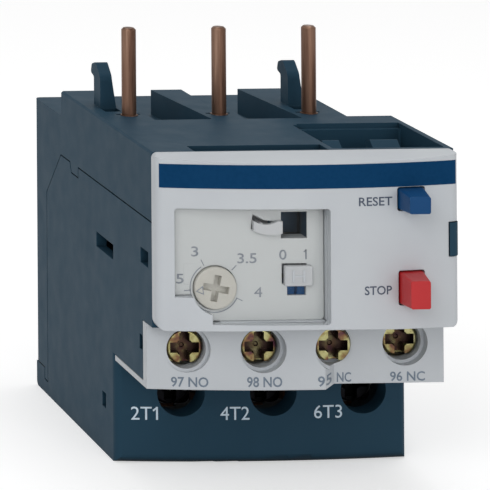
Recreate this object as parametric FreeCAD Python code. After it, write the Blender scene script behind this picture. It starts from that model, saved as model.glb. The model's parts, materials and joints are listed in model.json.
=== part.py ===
"""Thermal overload relay, 45 mm class, that hangs from a contactor by three copper pins.

The shapes are drawn in a working frame: +X right, +Y back, +Z up, with Y = 0 on the seam
between the dark housing and the white front cover, X = 0 on the middle of the width and
Z = 0 on the underside. export() moves them to the part's own frame, whose origin is the
middle of the footprint. All lengths are in millimetres and all angles in degrees.
"""
import FreeCAD
import Part

import math
import os

V = FreeCAD.Vector

# ---------------------------------------------------------------- driving dimensions
# Poles and overall width
POLE_COUNT = 3
POLE_PITCH = 14.1
LEFT_MARGIN = 5.0            # first pin to the left wall
BLOCK_MARGIN = 4.9           # last pin to the right wall of the rear block
NOTCH_WIDTH = 6.9            # step between the rear block and the full width
NOTCH_FRONT_Y = 23.5
NOTCH_BOTTOM_Z = 24.0

# Housing
HOUSING_DEPTH = 60.4
HOUSING_HEIGHT = 51.5
WALL = 1.6
FLOOR = 2.0
ROOF_THICKNESS = 6.1
CORNER_RADIUS = 0.9
ROOF_EDGE = 0.3              # chamfer along the roof's left edge
FIT_GAP = 0.12               # clearance between mating mouldings
SHELF_DROP = 4.0             # rear shelf and lanes between the pins, below the top
SHELF_DEPTH = 14.9
LANE_FRONT_Y = 22.5
TONGUE_END_Y = 28.5
TONGUE_LEFT = 2.3            # sides of a tongue from its pin
TONGUE_RIGHT = 2.8
RIB_RIGHT = 0.4              # right side of the rib behind a tongue
LANE_LEAN = 2.4              # shift of a lane's right side toward the back

# Parting line between the upper rear shell and the lower casing
PARTING_GAP = 0.22
PARTING_DROP = 10.5          # line below the top
CATCH_DROP = 1.6             # step in the line, below it
CATCH_LENGTH = 3.9
CATCH_LEAD = 0.7
CATCH_TO_SLOPE = 5.6         # back of the catch to the top of the slope
SLOPE_TO_BACK = 14.5         # top of the slope to the back of the housing
SLOPE_DROP = 7.7
BACK_WALL_WIDTH = 6.5        # back edge that belongs to the upper shell
LATCH_WIDTH = 4.4
LATCH_LOW_Z = 2.1
LATCH_TOP_Z = 4.0

# Openings through the side walls: (front y, back y, low z, high z)
TEST_WINDOW = (18.6, 27.1, 31.0, 33.3)
CATCH_WINDOWS = ((1.7, 5.3, 34.0, 36.3), (4.6, 6.0, 21.0, 23.2), (22.7, 24.6, 7.0, 9.3))

# Power terminals behind the lower front face
TERMINAL_SIDE_Y = 18.2       # bowed lower face at its sides
TERMINAL_MIDDLE_Y = 17.0
TERMINAL_EDGE_RADIUS = 1.3
TERMINAL_TOP_Z = 16.7
TERMINAL_OFFSET = 4.9        # power screw to the right of its pin
POWER_SCREW_Z = 10.8
DRIVER_HOLE_RADIUS = 3.6
SLEEVE_WALL = 0.9
SHELF_WALL = 1.4
WIRE_ENTRY_WIDTH = 8.4
POWER_HEAD_RADIUS = 3.3
POWER_HEAD_DEPTH = 2.2
POWER_HEAD_Y = 22.6
POWER_SHANK_RADIUS = 1.75
POWER_CLAMP_SIZE = 7.4
POWER_CLAMP_THICKNESS = 1.2
BUSBAR_THICKNESS = 1.2
BUSBAR_Z = 4.6
BUSBAR_PLATE_Y = 31.6        # front face of the upturned terminal plate
BUSBAR_PLATE_HEIGHT = 10.6
BUSBAR_PLATE_WIDTH = 7.0
BUSBAR_FOOT_WIDTH = 4.0

# Input pins
PIN_RADIUS = 1.1
PIN_Y = 26.3
PIN_PROJECTION = 13.6
PIN_TIP_CHAMFER = 0.3
PIN_BORE_GAP = 0.05
PIN_END_DEPTH = 8.3          # lower end of a pin, below the top
PIN_SHOULDER_RADIUS = 1.3
PIN_SHOULDER_RISE = 0.1

# Hooks that hold the relay to the contactor
HOOK_HEIGHT = 6.8
HOOK_FRONT_Y = 31.6
HOOK_DEPTH = 3.4
HOOK_BARB = 1.6
HOOK_BARB_HEIGHT = 2.4
HOOK_WIDTH = 1.9
HOOK_ROOT_WIDTH = 2.5
HOOK_OFFSETS = {0: -2.85, 2: -1.3}    # pole number: left side of the hook from the pin

# Recess in the roof for an add-on block
BAY_LEFT_X = 4.9
BAY_FRONT_Y = 1.0
BAY_BACK_Y = 17.6
BAY_DEPTH = 3.9
BAY_WALL = 0.9
BAY_LEDGE = 0.8
POSTS = ((2.0, 2.6), (9.3, 4.2))     # left side from the bay's left wall, width
POST_Y = 8.2
POST_DEPTH = 3.2
POST_HEIGHT = 3.0

# White front cover
COVER_LOW_Z = 25.6
COVER_EDGE = 2.0             # depth of the bowed cover at its sides
COVER_MIDDLE = 4.2           # depth of the cover at its middle
COVER_SIDE_RADIUS = 1.3
COVER_SKIN = 1.5
COVER_RIM = 1.1
COVER_TOP_SLOPE = 1.3
COVER_LOW_RADIUS = 1.6
COVER_TOP_RADIUS = 0.8
LUG_LOW_Z = 36.2
LUG_HEIGHT = 4.9
LUG_WIDTH = 1.6
LUG_PROUD = 0.5

# Window in the cover, and the contact block's face that fills it
WINDOW_LEFT = 2.6            # from the left wall
WINDOW_WIDTH = 22.5
WINDOW_LOW_Z = 26.8
WINDOW_HEIGHT = 16.95
WINDOW_RADIUS = 0.5
SEAL_BLOCK_WIDTH = 5.3       # solid lower left corner of the window
SEAL_BLOCK_HEIGHT = 3.9
FLOOR_Y = -1.5               # front of the face plate seen through the window
PAD_BACK_Y = -0.1
BACKPLATE_THICKNESS = 1.2
BACKPLATE_GAP = 0.2          # under the roof

# Setting dial
DIAL_X_FROM_LEFT = 8.8
DIAL_Z = 31.8
DIAL_RADIUS = 3.15
DIAL_PROUD = 0.6
DIAL_CLEARANCE = 0.13
DIAL_GROOVE_CLEARANCE = 0.55
DIAL_SHAFT_RADIUS = 1.5
DIAL_SHAFT_GAP = 0.06
DIAL_CROSS_LENGTH = 3.9
DIAL_CROSS_WIDTH = 1.0
DIAL_CROSS_DEPTH = 1.0
DIAL_CROSS_TURN = 11.0
CAM_RADIUS = 2.3
CAM_THROW = 0.7
CAM_GAP = 2.9                # from the backplate to the cam
CAM_THICKNESS = 2.4

# Test lever, test aperture, trip indicator and mode selector (from the left wall)
TEST_APERTURE_X = 18.7
TEST_APERTURE_WIDTH = 3.85
TEST_APERTURE_LOW_Z = 38.9
TEST_APERTURE_HEIGHT = 3.9
TEST_LEVER_WIDTH = 4.3
TEST_LEVER_LOW_Z = 39.7
TEST_LEVER_HEIGHT = 2.0
TEST_LEVER_PROUD = 0.8
TEST_TRAVEL = 1.5
TRIP_FLAG_X = 19.0
TRIP_FLAG_WIDTH = 4.15
TRIP_FLAG_LOW_Z = 32.0
TRIP_FLAG_HEIGHT = 3.0
TRIP_FLAG_PROUD = 0.75
TRIP_FLAG_TRAVEL = 1.2
SELECTOR_X = 19.55
SELECTOR_WIDTH = 2.8
SELECTOR_LOW_Z = 30.5
SELECTOR_TRAVEL = 1.2
FLOAT_GAP = 0.06             # between a sliding piece and the face it slides over

# Push buttons (from the right wall)
BUTTON_REACH = 7.4           # front of a released button ahead of the cover seam
BUTTON_X_FROM_RIGHT = 7.6
BUTTON_TRAVEL = 2.5
BUTTON_GAP = 0.22
RESET_DROP = 6.6             # reset button's axis below the top
RESET_WIDTH = 3.9
RESET_HEIGHT = 3.1
STOP_Z = 31.85
STOP_WIDTH = 3.7
STOP_HEIGHT = 4.7
BUTTON_TAPER_TOP = 0.35
BUTTON_TAPER_LOW = 0.25
BUTTON_TAPER_RIGHT = 0.7
BUTTON_TAPER_LEFT = 0.1
BUTTON_FLANGE = 0.7
BUTTON_FLANGE_THICKNESS = 1.0
BUTTON_TAIL_RADIUS = 0.8
BRACKET_Y = 8.9
BRACKET_THICKNESS = 1.0
BRACKET_SIDE_GAP = 0.4
STOP_TAIL_GAP = 0.25         # pressed tail to the normally closed blade
RESET_TAIL_END_Y = 10.2
SPRING_WIRE = 0.3
SPRING_RADIUS = 1.25
SPRING_TURNS = 6

# Auxiliary terminals
AUX_MARGIN = 5.8
AUX_FORWARD_COUNT = 3        # terminals on the forward face, from the left
AUX_COUNT = 4
AUX_LOW_Z = 15.8
AUX_WALL = 0.9
AUX_LEFT_FACE_Y = 1.0        # most forward line of the bowed left part
AUX_BOW = 1.8                # set-back of the left part at the left wall
AUX_BOW_STEPS = 8
AUX_RIGHT_FACE_Y = 4.0
AUX_STEP_X = 3.6
AUX_STEP_RUN = 2.4
AUX_FLANGE = 1.6
AUX_DEPTH = 13.0             # set-back face to the back of the terminal block
AUX_SCREW_Z = 21.75
AUX_HOLE_RADIUS = 3.4
AUX_STEP_RADIUS = 2.95
AUX_HEAD_RADIUS = 2.7
AUX_HEAD_RECESS = 2.1
AUX_HEAD_DEPTH = 1.9
AUX_HEAD_FLAT = 0.55
AUX_SHANK_RADIUS = 1.25
AUX_WASHER_SIZE = 5.0
AUX_WASHER_THICKNESS = 0.8
AUX_CHAMBER_WIDTH = 8.2
AUX_WIRE_GAP = 4.4           # between the washer and the contact strip
STRIP_THICKNESS = 0.8
STRIP_WIDTH = 5.4
STRIP_BLADE_WIDTH = 2.6
STRIP_LOW_Z = 18.4
STRIP_NECK = 1.8
STRIP_TOP_Z = 33.2

# Contacts and the rocker that drives them
TIP_RADIUS = 0.9
TIP_THICKNESS = 0.6
TIP_Z = 31.4
TIP_OFFSETS = (1.7, -1.7, 1.7, 0.6)
NO_GAP = 1.5
NC_GAP = 0.12
BLADE_THICKNESS = 0.4
ROCKER_PIN_RADIUS = 0.8
ROCKER_PIN_GAP = 0.06
ROCKER_HUB_RADIUS = 2.0
ROCKER_PIN_X_FROM_LEFT = 23.5
ROCKER_PIN_Y = 17.8
ROCKER_PAD_WIDTH = 2.8
ROCKER_PAD_DEPTH = 0.6
ROCKER_BEAM = 1.6
ROCKER_FINGER_GAP = 0.7
ROCKER_LOW_Z = 29.6
ROCKER_ARM_HEIGHT = 3.6
ROCKER_TAIL_WIDTH = 1.6
ROCKER_TAIL_GAP = 7.2        # from its end to the trip slider

# Bimetals, heaters and trip sliders
BIMETAL_TO_BACK = 20.4
BIMETAL_WIDTH = 4.0
BIMETAL_THICKNESS = 0.8
BIMETAL_TOP_GAP = 4.0        # under the roof
HEATER_LOW_Z = 12.0
HEATER_TURNS = 8
HEATER_TOP_GAP = 4.7         # from the winding to the lower slider
HEATER_RIBBON_WIDTH = 1.5
HEATER_RIBBON = 0.5
HEATER_AIR = 0.35
LEAD_THICKNESS = 0.7
LEAD_WIDTH = 2.2
SLIDER_TO_BIMETAL = 4.4
SLIDER_THICKNESS = 1.6
SLIDER_HEIGHT = 1.8
SLIDER_DROP = 6.8            # under the roof
SLIDER_GAP = 0.4
SLIDER_FINGER = 1.0
SLIDER_TRAVEL = 1.2
FINGER_GAP = 0.35
DIFFERENTIAL_GAP = 0.3

# Adjusting lever and its temperature-compensating strip
LEVER_PIN_RADIUS = 0.7
LEVER_PIN_DROP = 0.6         # below the slider
LEVER_HUB_WALL = 1.1
LEVER_FOOT_DROP = 1.4        # below the dial's axis
LEVER_PIN_REACH = 4.6        # to the right of the dial's axis
LEVER_THICKNESS = 2.0
LEVER_ARM = 1.8
COMPENSATOR_THICKNESS = 0.6
COMPENSATOR_HEIGHT = 2.0
COMPENSATOR_GAP = 2.2        # from its end to the trip slider

# Clear window flap
FLAP_THICKNESS = 0.5
FLAP_GAP = 0.16
FLAP_BARREL_RADIUS = 0.5
FLAP_PIN_RADIUS = 0.3
FLAP_PIN_LENGTH = 0.6
FLAP_PIN_GAP = 0.08

# ---------------------------------------------------------------- values worked out
BODY_WIDTH = LEFT_MARGIN + (POLE_COUNT - 1) * POLE_PITCH + BLOCK_MARGIN + NOTCH_WIDTH
LEFT = -BODY_WIDTH / 2
RIGHT = BODY_WIDTH / 2
BLOCK_RIGHT = RIGHT - NOTCH_WIDTH
SEAM_SHIFT = (BUTTON_REACH - HOUSING_DEPTH) / 2
ROOF_Z = HOUSING_HEIGHT - ROOF_THICKNESS
SHELF_Z = HOUSING_HEIGHT - SHELF_DROP
SHELF_FRONT_Y = HOUSING_DEPTH - SHELF_DEPTH
PARTING_Z = HOUSING_HEIGHT - PARTING_DROP
PARTING_SLOPE_TOP_Y = HOUSING_DEPTH - SLOPE_TO_BACK
PARTING_BACK_Y = HOUSING_DEPTH - BACK_WALL_WIDTH
CATCH_BACK_Y = PARTING_SLOPE_TOP_Y - CATCH_TO_SLOPE
BAY_FLOOR_Z = HOUSING_HEIGHT - BAY_DEPTH
BACKPLATE_TOP_Z = ROOF_Z - BACKPLATE_GAP
RESET_Z = HOUSING_HEIGHT - RESET_DROP
BIMETAL_Y = HOUSING_DEPTH - BIMETAL_TO_BACK
BIMETAL_TOP_Z = ROOF_Z - BIMETAL_TOP_GAP
SLIDER_Y = BIMETAL_Y - SLIDER_TO_BIMETAL
SLIDER_Z = ROOF_Z - SLIDER_DROP
LEVER_PIN_Z = SLIDER_Z - LEVER_PIN_DROP
HEATER_TOP_Z = SLIDER_Z - SLIDER_HEIGHT - SLIDER_GAP - HEATER_TOP_GAP
HEATER_PITCH = (HEATER_TOP_Z - HEATER_RIBBON_WIDTH - HEATER_LOW_Z) / (HEATER_TURNS - 1)
ROCKER_TAIL_END_Y = SLIDER_Y - ROCKER_TAIL_GAP
COMPENSATOR_END_Y = SLIDER_Y - COMPENSATOR_GAP
PIN_LOW_Z = HOUSING_HEIGHT - PIN_END_DEPTH
PIN_X = [LEFT + LEFT_MARGIN + POLE_PITCH * pole for pole in range(POLE_COUNT)]
TERMINAL_X = [x + TERMINAL_OFFSET for x in PIN_X]
AUX_PITCH = (BODY_WIDTH - 2 * AUX_MARGIN) / (AUX_COUNT - 1)
AUX_X = [LEFT + AUX_MARGIN + AUX_PITCH * place for place in range(AUX_COUNT)]
AUX_FACE_Y = [AUX_LEFT_FACE_Y if place < AUX_FORWARD_COUNT else AUX_RIGHT_FACE_Y
              for place in range(AUX_COUNT)]
AUX_BACK_Y = AUX_RIGHT_FACE_Y + AUX_DEPTH
DIAL_X = LEFT + DIAL_X_FROM_LEFT
WINDOW_X = LEFT + WINDOW_LEFT
BUTTON_X = RIGHT - BUTTON_X_FROM_RIGHT
BACKPLATE_Y = PAD_BACK_Y + BACKPLATE_THICKNESS
CAM_FRONT_Y = BACKPLATE_Y + CAM_GAP
ROCKER_PIN_X = LEFT + ROCKER_PIN_X_FROM_LEFT
FAR = 100.0                  # reach of a cutter that passes right through


# ---------------------------------------------------------------- drawing helpers
def block(x_low, x_high, y_low, y_high, z_low, z_high):
    """Rectangular solid between two corners."""
    return Part.makeBox(x_high - x_low, y_high - y_low, z_high - z_low, V(x_low, y_low, z_low))


def rod_y(x, z, radius, y_low, y_high):
    """Cylinder whose axis runs front to back."""
    return Part.makeCylinder(radius, y_high - y_low, V(x, y_low, z), V(0, 1, 0))


def rod_z(x, y, radius, z_low, z_high):
    """Upright cylinder."""
    return Part.makeCylinder(radius, z_high - z_low, V(x, y, z_low), V(0, 0, 1))


def place_in_plane(axis, level):
    """Function that puts a flat point (a, b) at the given level of an axis."""
    if axis == "x":
        return lambda a, b: V(level, a, b)
    if axis == "y":
        return lambda a, b: V(a, level, b)
    return lambda a, b: V(a, b, level)


def outline(points, put):
    """Closed wire through flat points; a third value rounds that corner."""
    corners = []
    count = len(points)
    for index, point in enumerate(points):
        here = put(point[0], point[1])
        before = put(*points[index - 1][:2])
        after = put(*points[(index + 1) % count][:2])
        radius = point[2] if len(point) > 2 else 0.0
        to_before = (before - here).normalize()
        to_after = (after - here).normalize()
        half_turn = to_before.getAngle(to_after) / 2
        if radius == 0.0:
            corners.append((here, None, here))
            continue
        setback = radius / math.tan(half_turn)
        middle_way = (to_before + to_after).normalize()
        middle = here + middle_way * (radius / math.sin(half_turn) - radius)
        corners.append((here + to_before * setback, middle, here + to_after * setback))
    edges = []
    for index, (start, middle, end) in enumerate(corners):
        if middle is not None:
            edges.append(Part.Arc(start, middle, end).toShape())
        following = corners[(index + 1) % count][0]
        if end.distanceToPoint(following) > 1e-6:
            edges.append(Part.LineSegment(end, following).toShape())
    return Part.Wire(edges)


def prism(axis, points, low, high):
    """Straight solid on a flat outline, along x, y or z."""
    wire = outline(points, place_in_plane(axis, low))
    direction = {"x": V(1, 0, 0), "y": V(0, 1, 0), "z": V(0, 0, 1)}[axis]
    return Part.Face(wire).extrude(direction * (high - low))


def rounded_rectangle(a_low, a_high, b_low, b_high, radius):
    """Corner points of a rectangle with equal round corners."""
    return [
        (a_low, b_low, radius),
        (a_high, b_low, radius),
        (a_high, b_high, radius),
        (a_low, b_high, radius),
    ]


def join(*shapes):
    """One solid from shapes that overlap or touch."""
    first = shapes[0]
    return first.fuse(list(shapes[1:])).removeSplitter()


def group(shapes):
    """Several separate solids kept together as one node."""
    return Part.makeCompound(shapes)


def bowed_plate(side_y, middle_y, back_y, z_low, z_high, half_width):
    """Plate with a flat back and a front face bowed between its two sides."""
    arc = Part.Arc(V(half_width, side_y, z_low), V(0, middle_y, z_low),
                   V(-half_width, side_y, z_low)).toShape()
    corners = [V(-half_width, side_y, z_low), V(-half_width, back_y, z_low),
               V(half_width, back_y, z_low), V(half_width, side_y, z_low)]
    sides = [Part.LineSegment(a, b).toShape() for a, b in zip(corners, corners[1:])]
    face = Part.Face(Part.Wire([arc] + sides))
    return face.extrude(V(0, 0, z_high - z_low))


def cover_arc():
    """Centre and radius of the cover's bow, seen from above."""
    bow = COVER_MIDDLE - COVER_EDGE
    radius = (RIGHT ** 2 + bow ** 2) / (2 * bow)
    return V(0, radius - COVER_MIDDLE, 0), radius


def cover_face_y(x):
    """Front of the bowed cover at a place along the width."""
    centre, radius = cover_arc()
    return centre.y - math.sqrt(radius ** 2 - (x - centre.x) ** 2)


def helix_spring(x, z, y_low, y_high):
    """Round-wire coil spring along Y with a square-drawn section."""
    length = y_high - y_low - SPRING_WIRE
    helix = Part.makeHelix(length / SPRING_TURNS, length, SPRING_RADIUS)
    half = SPRING_WIRE / 2
    section = Part.makePolygon([
        V(SPRING_RADIUS - half, 0, -half), V(SPRING_RADIUS + half, 0, -half),
        V(SPRING_RADIUS + half, 0, half), V(SPRING_RADIUS - half, 0, half),
        V(SPRING_RADIUS - half, 0, -half)])
    coil = Part.Wire(helix).makePipeShell([section], True, True)
    coil.rotate(V(0, 0, 0), V(1, 0, 0), -90)
    coil.translate(V(x, y_low + half, z))
    return coil


# ---------------------------------------------------------------- housing
def housing_plan(inset):
    """Plan of the dark body: full width in front, narrower block behind above the notch."""
    return [
        (LEFT + inset, inset),
        (RIGHT - inset, inset),
        (RIGHT - inset, HOUSING_DEPTH - inset, CORNER_RADIUS),
        (LEFT + inset, HOUSING_DEPTH - inset, CORNER_RADIUS),
    ]


def rear_notch(inset, z_low):
    """Space beside the rear block, from the notch level up."""
    return block(BLOCK_RIGHT - inset, RIGHT + FAR, NOTCH_FRONT_Y - inset, HOUSING_DEPTH + FAR,
                 z_low, HOUSING_HEIGHT + FAR)


def parting_line(gap):
    """Line from the seam to the back, raised by a gap for the upper shell."""
    back = PARTING_BACK_Y + gap
    catch_front = CATCH_BACK_Y - CATCH_LENGTH + gap
    catch_z = PARTING_Z - CATCH_DROP + gap
    latch_y = HOUSING_DEPTH - LATCH_WIDTH - gap
    return [
        (0.0, PARTING_Z + gap),
        (catch_front, PARTING_Z + gap),
        (catch_front, catch_z),
        (CATCH_BACK_Y - gap, catch_z),
        (CATCH_BACK_Y + CATCH_LEAD - gap, PARTING_Z + gap),
        (PARTING_SLOPE_TOP_Y, PARTING_Z + gap),
        (back, PARTING_Z - SLOPE_DROP),
        (back, LATCH_LOW_Z + gap),
        (latch_y, LATCH_LOW_Z + gap),
        (latch_y, LATCH_TOP_Z + gap),
        (HOUSING_DEPTH, LATCH_TOP_Z + gap),
    ]


def lane(left_pin, right_pin):
    """Lane sunk into the roof between the tongues and ribs of two pins."""
    plan = [
        (left_pin + TONGUE_RIGHT, LANE_FRONT_Y, 0.5),
        (right_pin - TONGUE_LEFT, LANE_FRONT_Y, 0.5),
        (right_pin - TONGUE_LEFT - LANE_LEAN, SHELF_FRONT_Y + WALL),
        (left_pin + RIB_RIGHT, SHELF_FRONT_Y + WALL),
        (left_pin + RIB_RIGHT, TONGUE_END_Y, 0.4),
        (left_pin + TONGUE_RIGHT, TONGUE_END_Y, 0.5),
    ]
    return prism("z", plan, SHELF_Z, HOUSING_HEIGHT + WALL)


def hook(pole):
    """Hook with a barb that points back, on a root that widens to the right."""
    left = PIN_X[pole] + HOOK_OFFSETS[pole]
    top = HOUSING_HEIGHT + HOOK_HEIGHT
    back = HOOK_FRONT_Y + HOOK_DEPTH
    side = [
        (HOOK_FRONT_Y, HOUSING_HEIGHT - WALL),
        (back, HOUSING_HEIGHT - WALL),
        (back, top - HOOK_BARB_HEIGHT, 0.5),
        (back + HOOK_BARB, top - HOOK_BARB_HEIGHT + 0.4, 0.4),
        (back + HOOK_BARB - 0.5, top - 0.6, 0.7),
        (back - 0.9, top, 0.9),
        (HOOK_FRONT_Y + 0.2, top - 1.9, 1.6),
    ]
    shaft = prism("x", side, left, left + HOOK_ROOT_WIDTH)
    draft = prism("y", [
        (left + HOOK_WIDTH, top + WALL),
        (left + HOOK_WIDTH, top - HOOK_BARB_HEIGHT),
        (left + HOOK_ROOT_WIDTH, HOUSING_HEIGHT),
        (left + HOOK_ROOT_WIDTH + WALL, HOUSING_HEIGHT),
        (left + HOOK_ROOT_WIDTH + WALL, top + WALL),
    ], HOOK_FRONT_Y - WALL, back + HOOK_BARB + WALL)
    return shaft.cut(draft)


def hook_relief(pole):
    """Sloping hollow in the roof in front of a hook."""
    left = PIN_X[pole] + HOOK_OFFSETS[pole]
    slope = prism("x", [
        (HOOK_FRONT_Y - 2.6, HOUSING_HEIGHT + 0.01),
        (HOOK_FRONT_Y, HOUSING_HEIGHT - 1.2),
        (HOOK_FRONT_Y, HOUSING_HEIGHT + WALL),
        (HOOK_FRONT_Y - 2.6, HOUSING_HEIGHT + WALL),
    ], left, left + HOOK_ROOT_WIDTH)
    return slope


def housing_body(z_low, z_high):
    """Outer form of the dark housing between two levels."""
    body = prism("z", housing_plan(0.0), z_low, z_high)
    return body.cut(rear_notch(0.0, NOTCH_BOTTOM_Z))


def housing_space(z_low, z_high):
    """Space inside the housing walls between two levels."""
    space = prism("z", housing_plan(WALL), z_low, z_high)
    return space.cut(rear_notch(WALL, NOTCH_BOTTOM_Z - WALL))


def left_window(y_low, y_high, z_low, z_high):
    """Opening through the left wall."""
    return block(LEFT - 1, LEFT + WALL + 0.5, y_low, y_high, z_low, z_high)


def bay_clips():
    """Two snap posts that stand on the floor of the roof bay."""
    posts = []
    y = BAY_FRONT_Y + POST_Y
    top = BAY_FLOOR_Z + POST_HEIGHT
    for x, width in POSTS:
        posts.append(prism("x", [
            (y, BAY_FLOOR_Z - 0.5),
            (y + POST_DEPTH, BAY_FLOOR_Z - 0.5),
            (y + POST_DEPTH, top - 0.5, 0.3),
            (y + POST_DEPTH / 2, top, 0.4),
            (y, top - 1.2, 0.3),
        ], BAY_LEFT_X + x, BAY_LEFT_X + x + width))
    return posts


def rear_housing():
    """Upper and rear shell: roof with lanes, hooks and bay, and the back wall."""
    over_parting = parting_line(PARTING_GAP) + [
        (HOUSING_DEPTH, HOUSING_HEIGHT + FAR), (0.0, HOUSING_HEIGHT + FAR)]
    upper_zone = prism("x", over_parting, LEFT - 1, RIGHT + 1)
    shell = housing_body(0.0, HOUSING_HEIGHT).common(upper_zone)
    shell = shell.cut(housing_space(-1.0, ROOF_Z))
    shell = shell.cut(block(LEFT + WALL, RIGHT - WALL, -1, WALL + 1, 0, ROOF_Z))
    shell = shell.cut(block(LEFT - 1, RIGHT + 1, SHELF_FRONT_Y, HOUSING_DEPTH + 1,
                            SHELF_Z, HOUSING_HEIGHT + 1))
    top_left_edge = prism("y", [
        (LEFT - 1, HOUSING_HEIGHT - ROOF_EDGE), (LEFT, HOUSING_HEIGHT - ROOF_EDGE),
        (LEFT + ROOF_EDGE, HOUSING_HEIGHT), (LEFT + ROOF_EDGE, HOUSING_HEIGHT + 1),
        (LEFT - 1, HOUSING_HEIGHT + 1)], -1, SHELF_FRONT_Y + 1)
    cutters = [lane(a, b) for a, b in zip(PIN_X, PIN_X[1:])]
    cutters += [hook_relief(pole) for pole in HOOK_OFFSETS]
    cutters += [rod_z(x, PIN_Y, PIN_SHOULDER_RADIUS + PIN_BORE_GAP, 0, HOUSING_HEIGHT + 1)
                for x in PIN_X]
    cutters += [block(x - PIN_RADIUS - 0.8, x + PIN_RADIUS + 0.8, PIN_Y + 0.3, PIN_Y + 0.9,
                      HOUSING_HEIGHT - 0.8, HOUSING_HEIGHT + 1) for x in PIN_X]
    cutters.append(top_left_edge)
    cutters.append(prism("z", rounded_rectangle(
        BAY_LEFT_X, RIGHT - BAY_WALL, BAY_FRONT_Y, BAY_BACK_Y, 0.4),
        BAY_FLOOR_Z, HOUSING_HEIGHT + 1))
    cutters.append(block(BAY_LEFT_X + BAY_LEDGE, RIGHT - BAY_WALL, BAY_BACK_Y - BAY_LEDGE,
                         BAY_BACK_Y + BAY_LEDGE, HOUSING_HEIGHT - BAY_LEDGE,
                         HOUSING_HEIGHT + 1))
    reset_top = RESET_Z + RESET_HEIGHT / 2 + BUTTON_GAP
    half_flange = RESET_WIDTH / 2 + BUTTON_FLANGE + BRACKET_SIDE_GAP
    cutters.append(block(BUTTON_X - half_flange, BUTTON_X + half_flange, -1, BRACKET_Y,
                         ROOF_Z - 1, reset_top))
    cutters.append(rod_y(BUTTON_X, RESET_Z, BUTTON_TAIL_RADIUS + 0.3, BRACKET_Y - 1,
                         RESET_TAIL_END_Y + BUTTON_TRAVEL + 1))
    cutters.append(block(LEFT + 6.5, BAY_LEFT_X - BAY_WALL, -1, 3.8,
                         HOUSING_HEIGHT - 0.7, HOUSING_HEIGHT + 1))
    cutters.append(block(LEFT + WALL + 0.4, BAY_LEFT_X - WALL, WALL, LANE_FRONT_Y - WALL,
                         ROOF_Z - 1, HOUSING_HEIGHT - FLOOR))
    shell = shell.cut(cutters)
    return join(shell, *[hook(pole) for pole in HOOK_OFFSETS], *bay_clips())


def pole_walls():
    """Upright barriers between the poles, first at the terminals, then at the bimetals."""
    walls = []
    for pole in range(POLE_COUNT - 1):
        front_x = (TERMINAL_X[pole] + TERMINAL_X[pole + 1]) / 2
        walls.append(block(front_x - SHELF_WALL / 2, front_x + SHELF_WALL / 2,
                           TERMINAL_SIDE_Y, POWER_HEAD_Y + 7.2, FLOOR / 2, TERMINAL_TOP_Z))
        back_x = (PIN_X[pole] + PIN_X[pole + 1]) / 2
        walls.append(block(back_x - SHELF_WALL / 2, back_x + SHELF_WALL / 2,
                           SLIDER_Y + SLIDER_THICKNESS + 1.0, PARTING_BACK_Y - 0.4,
                           FLOOR / 2, SLIDER_Z - 5.0))
    return walls


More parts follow.
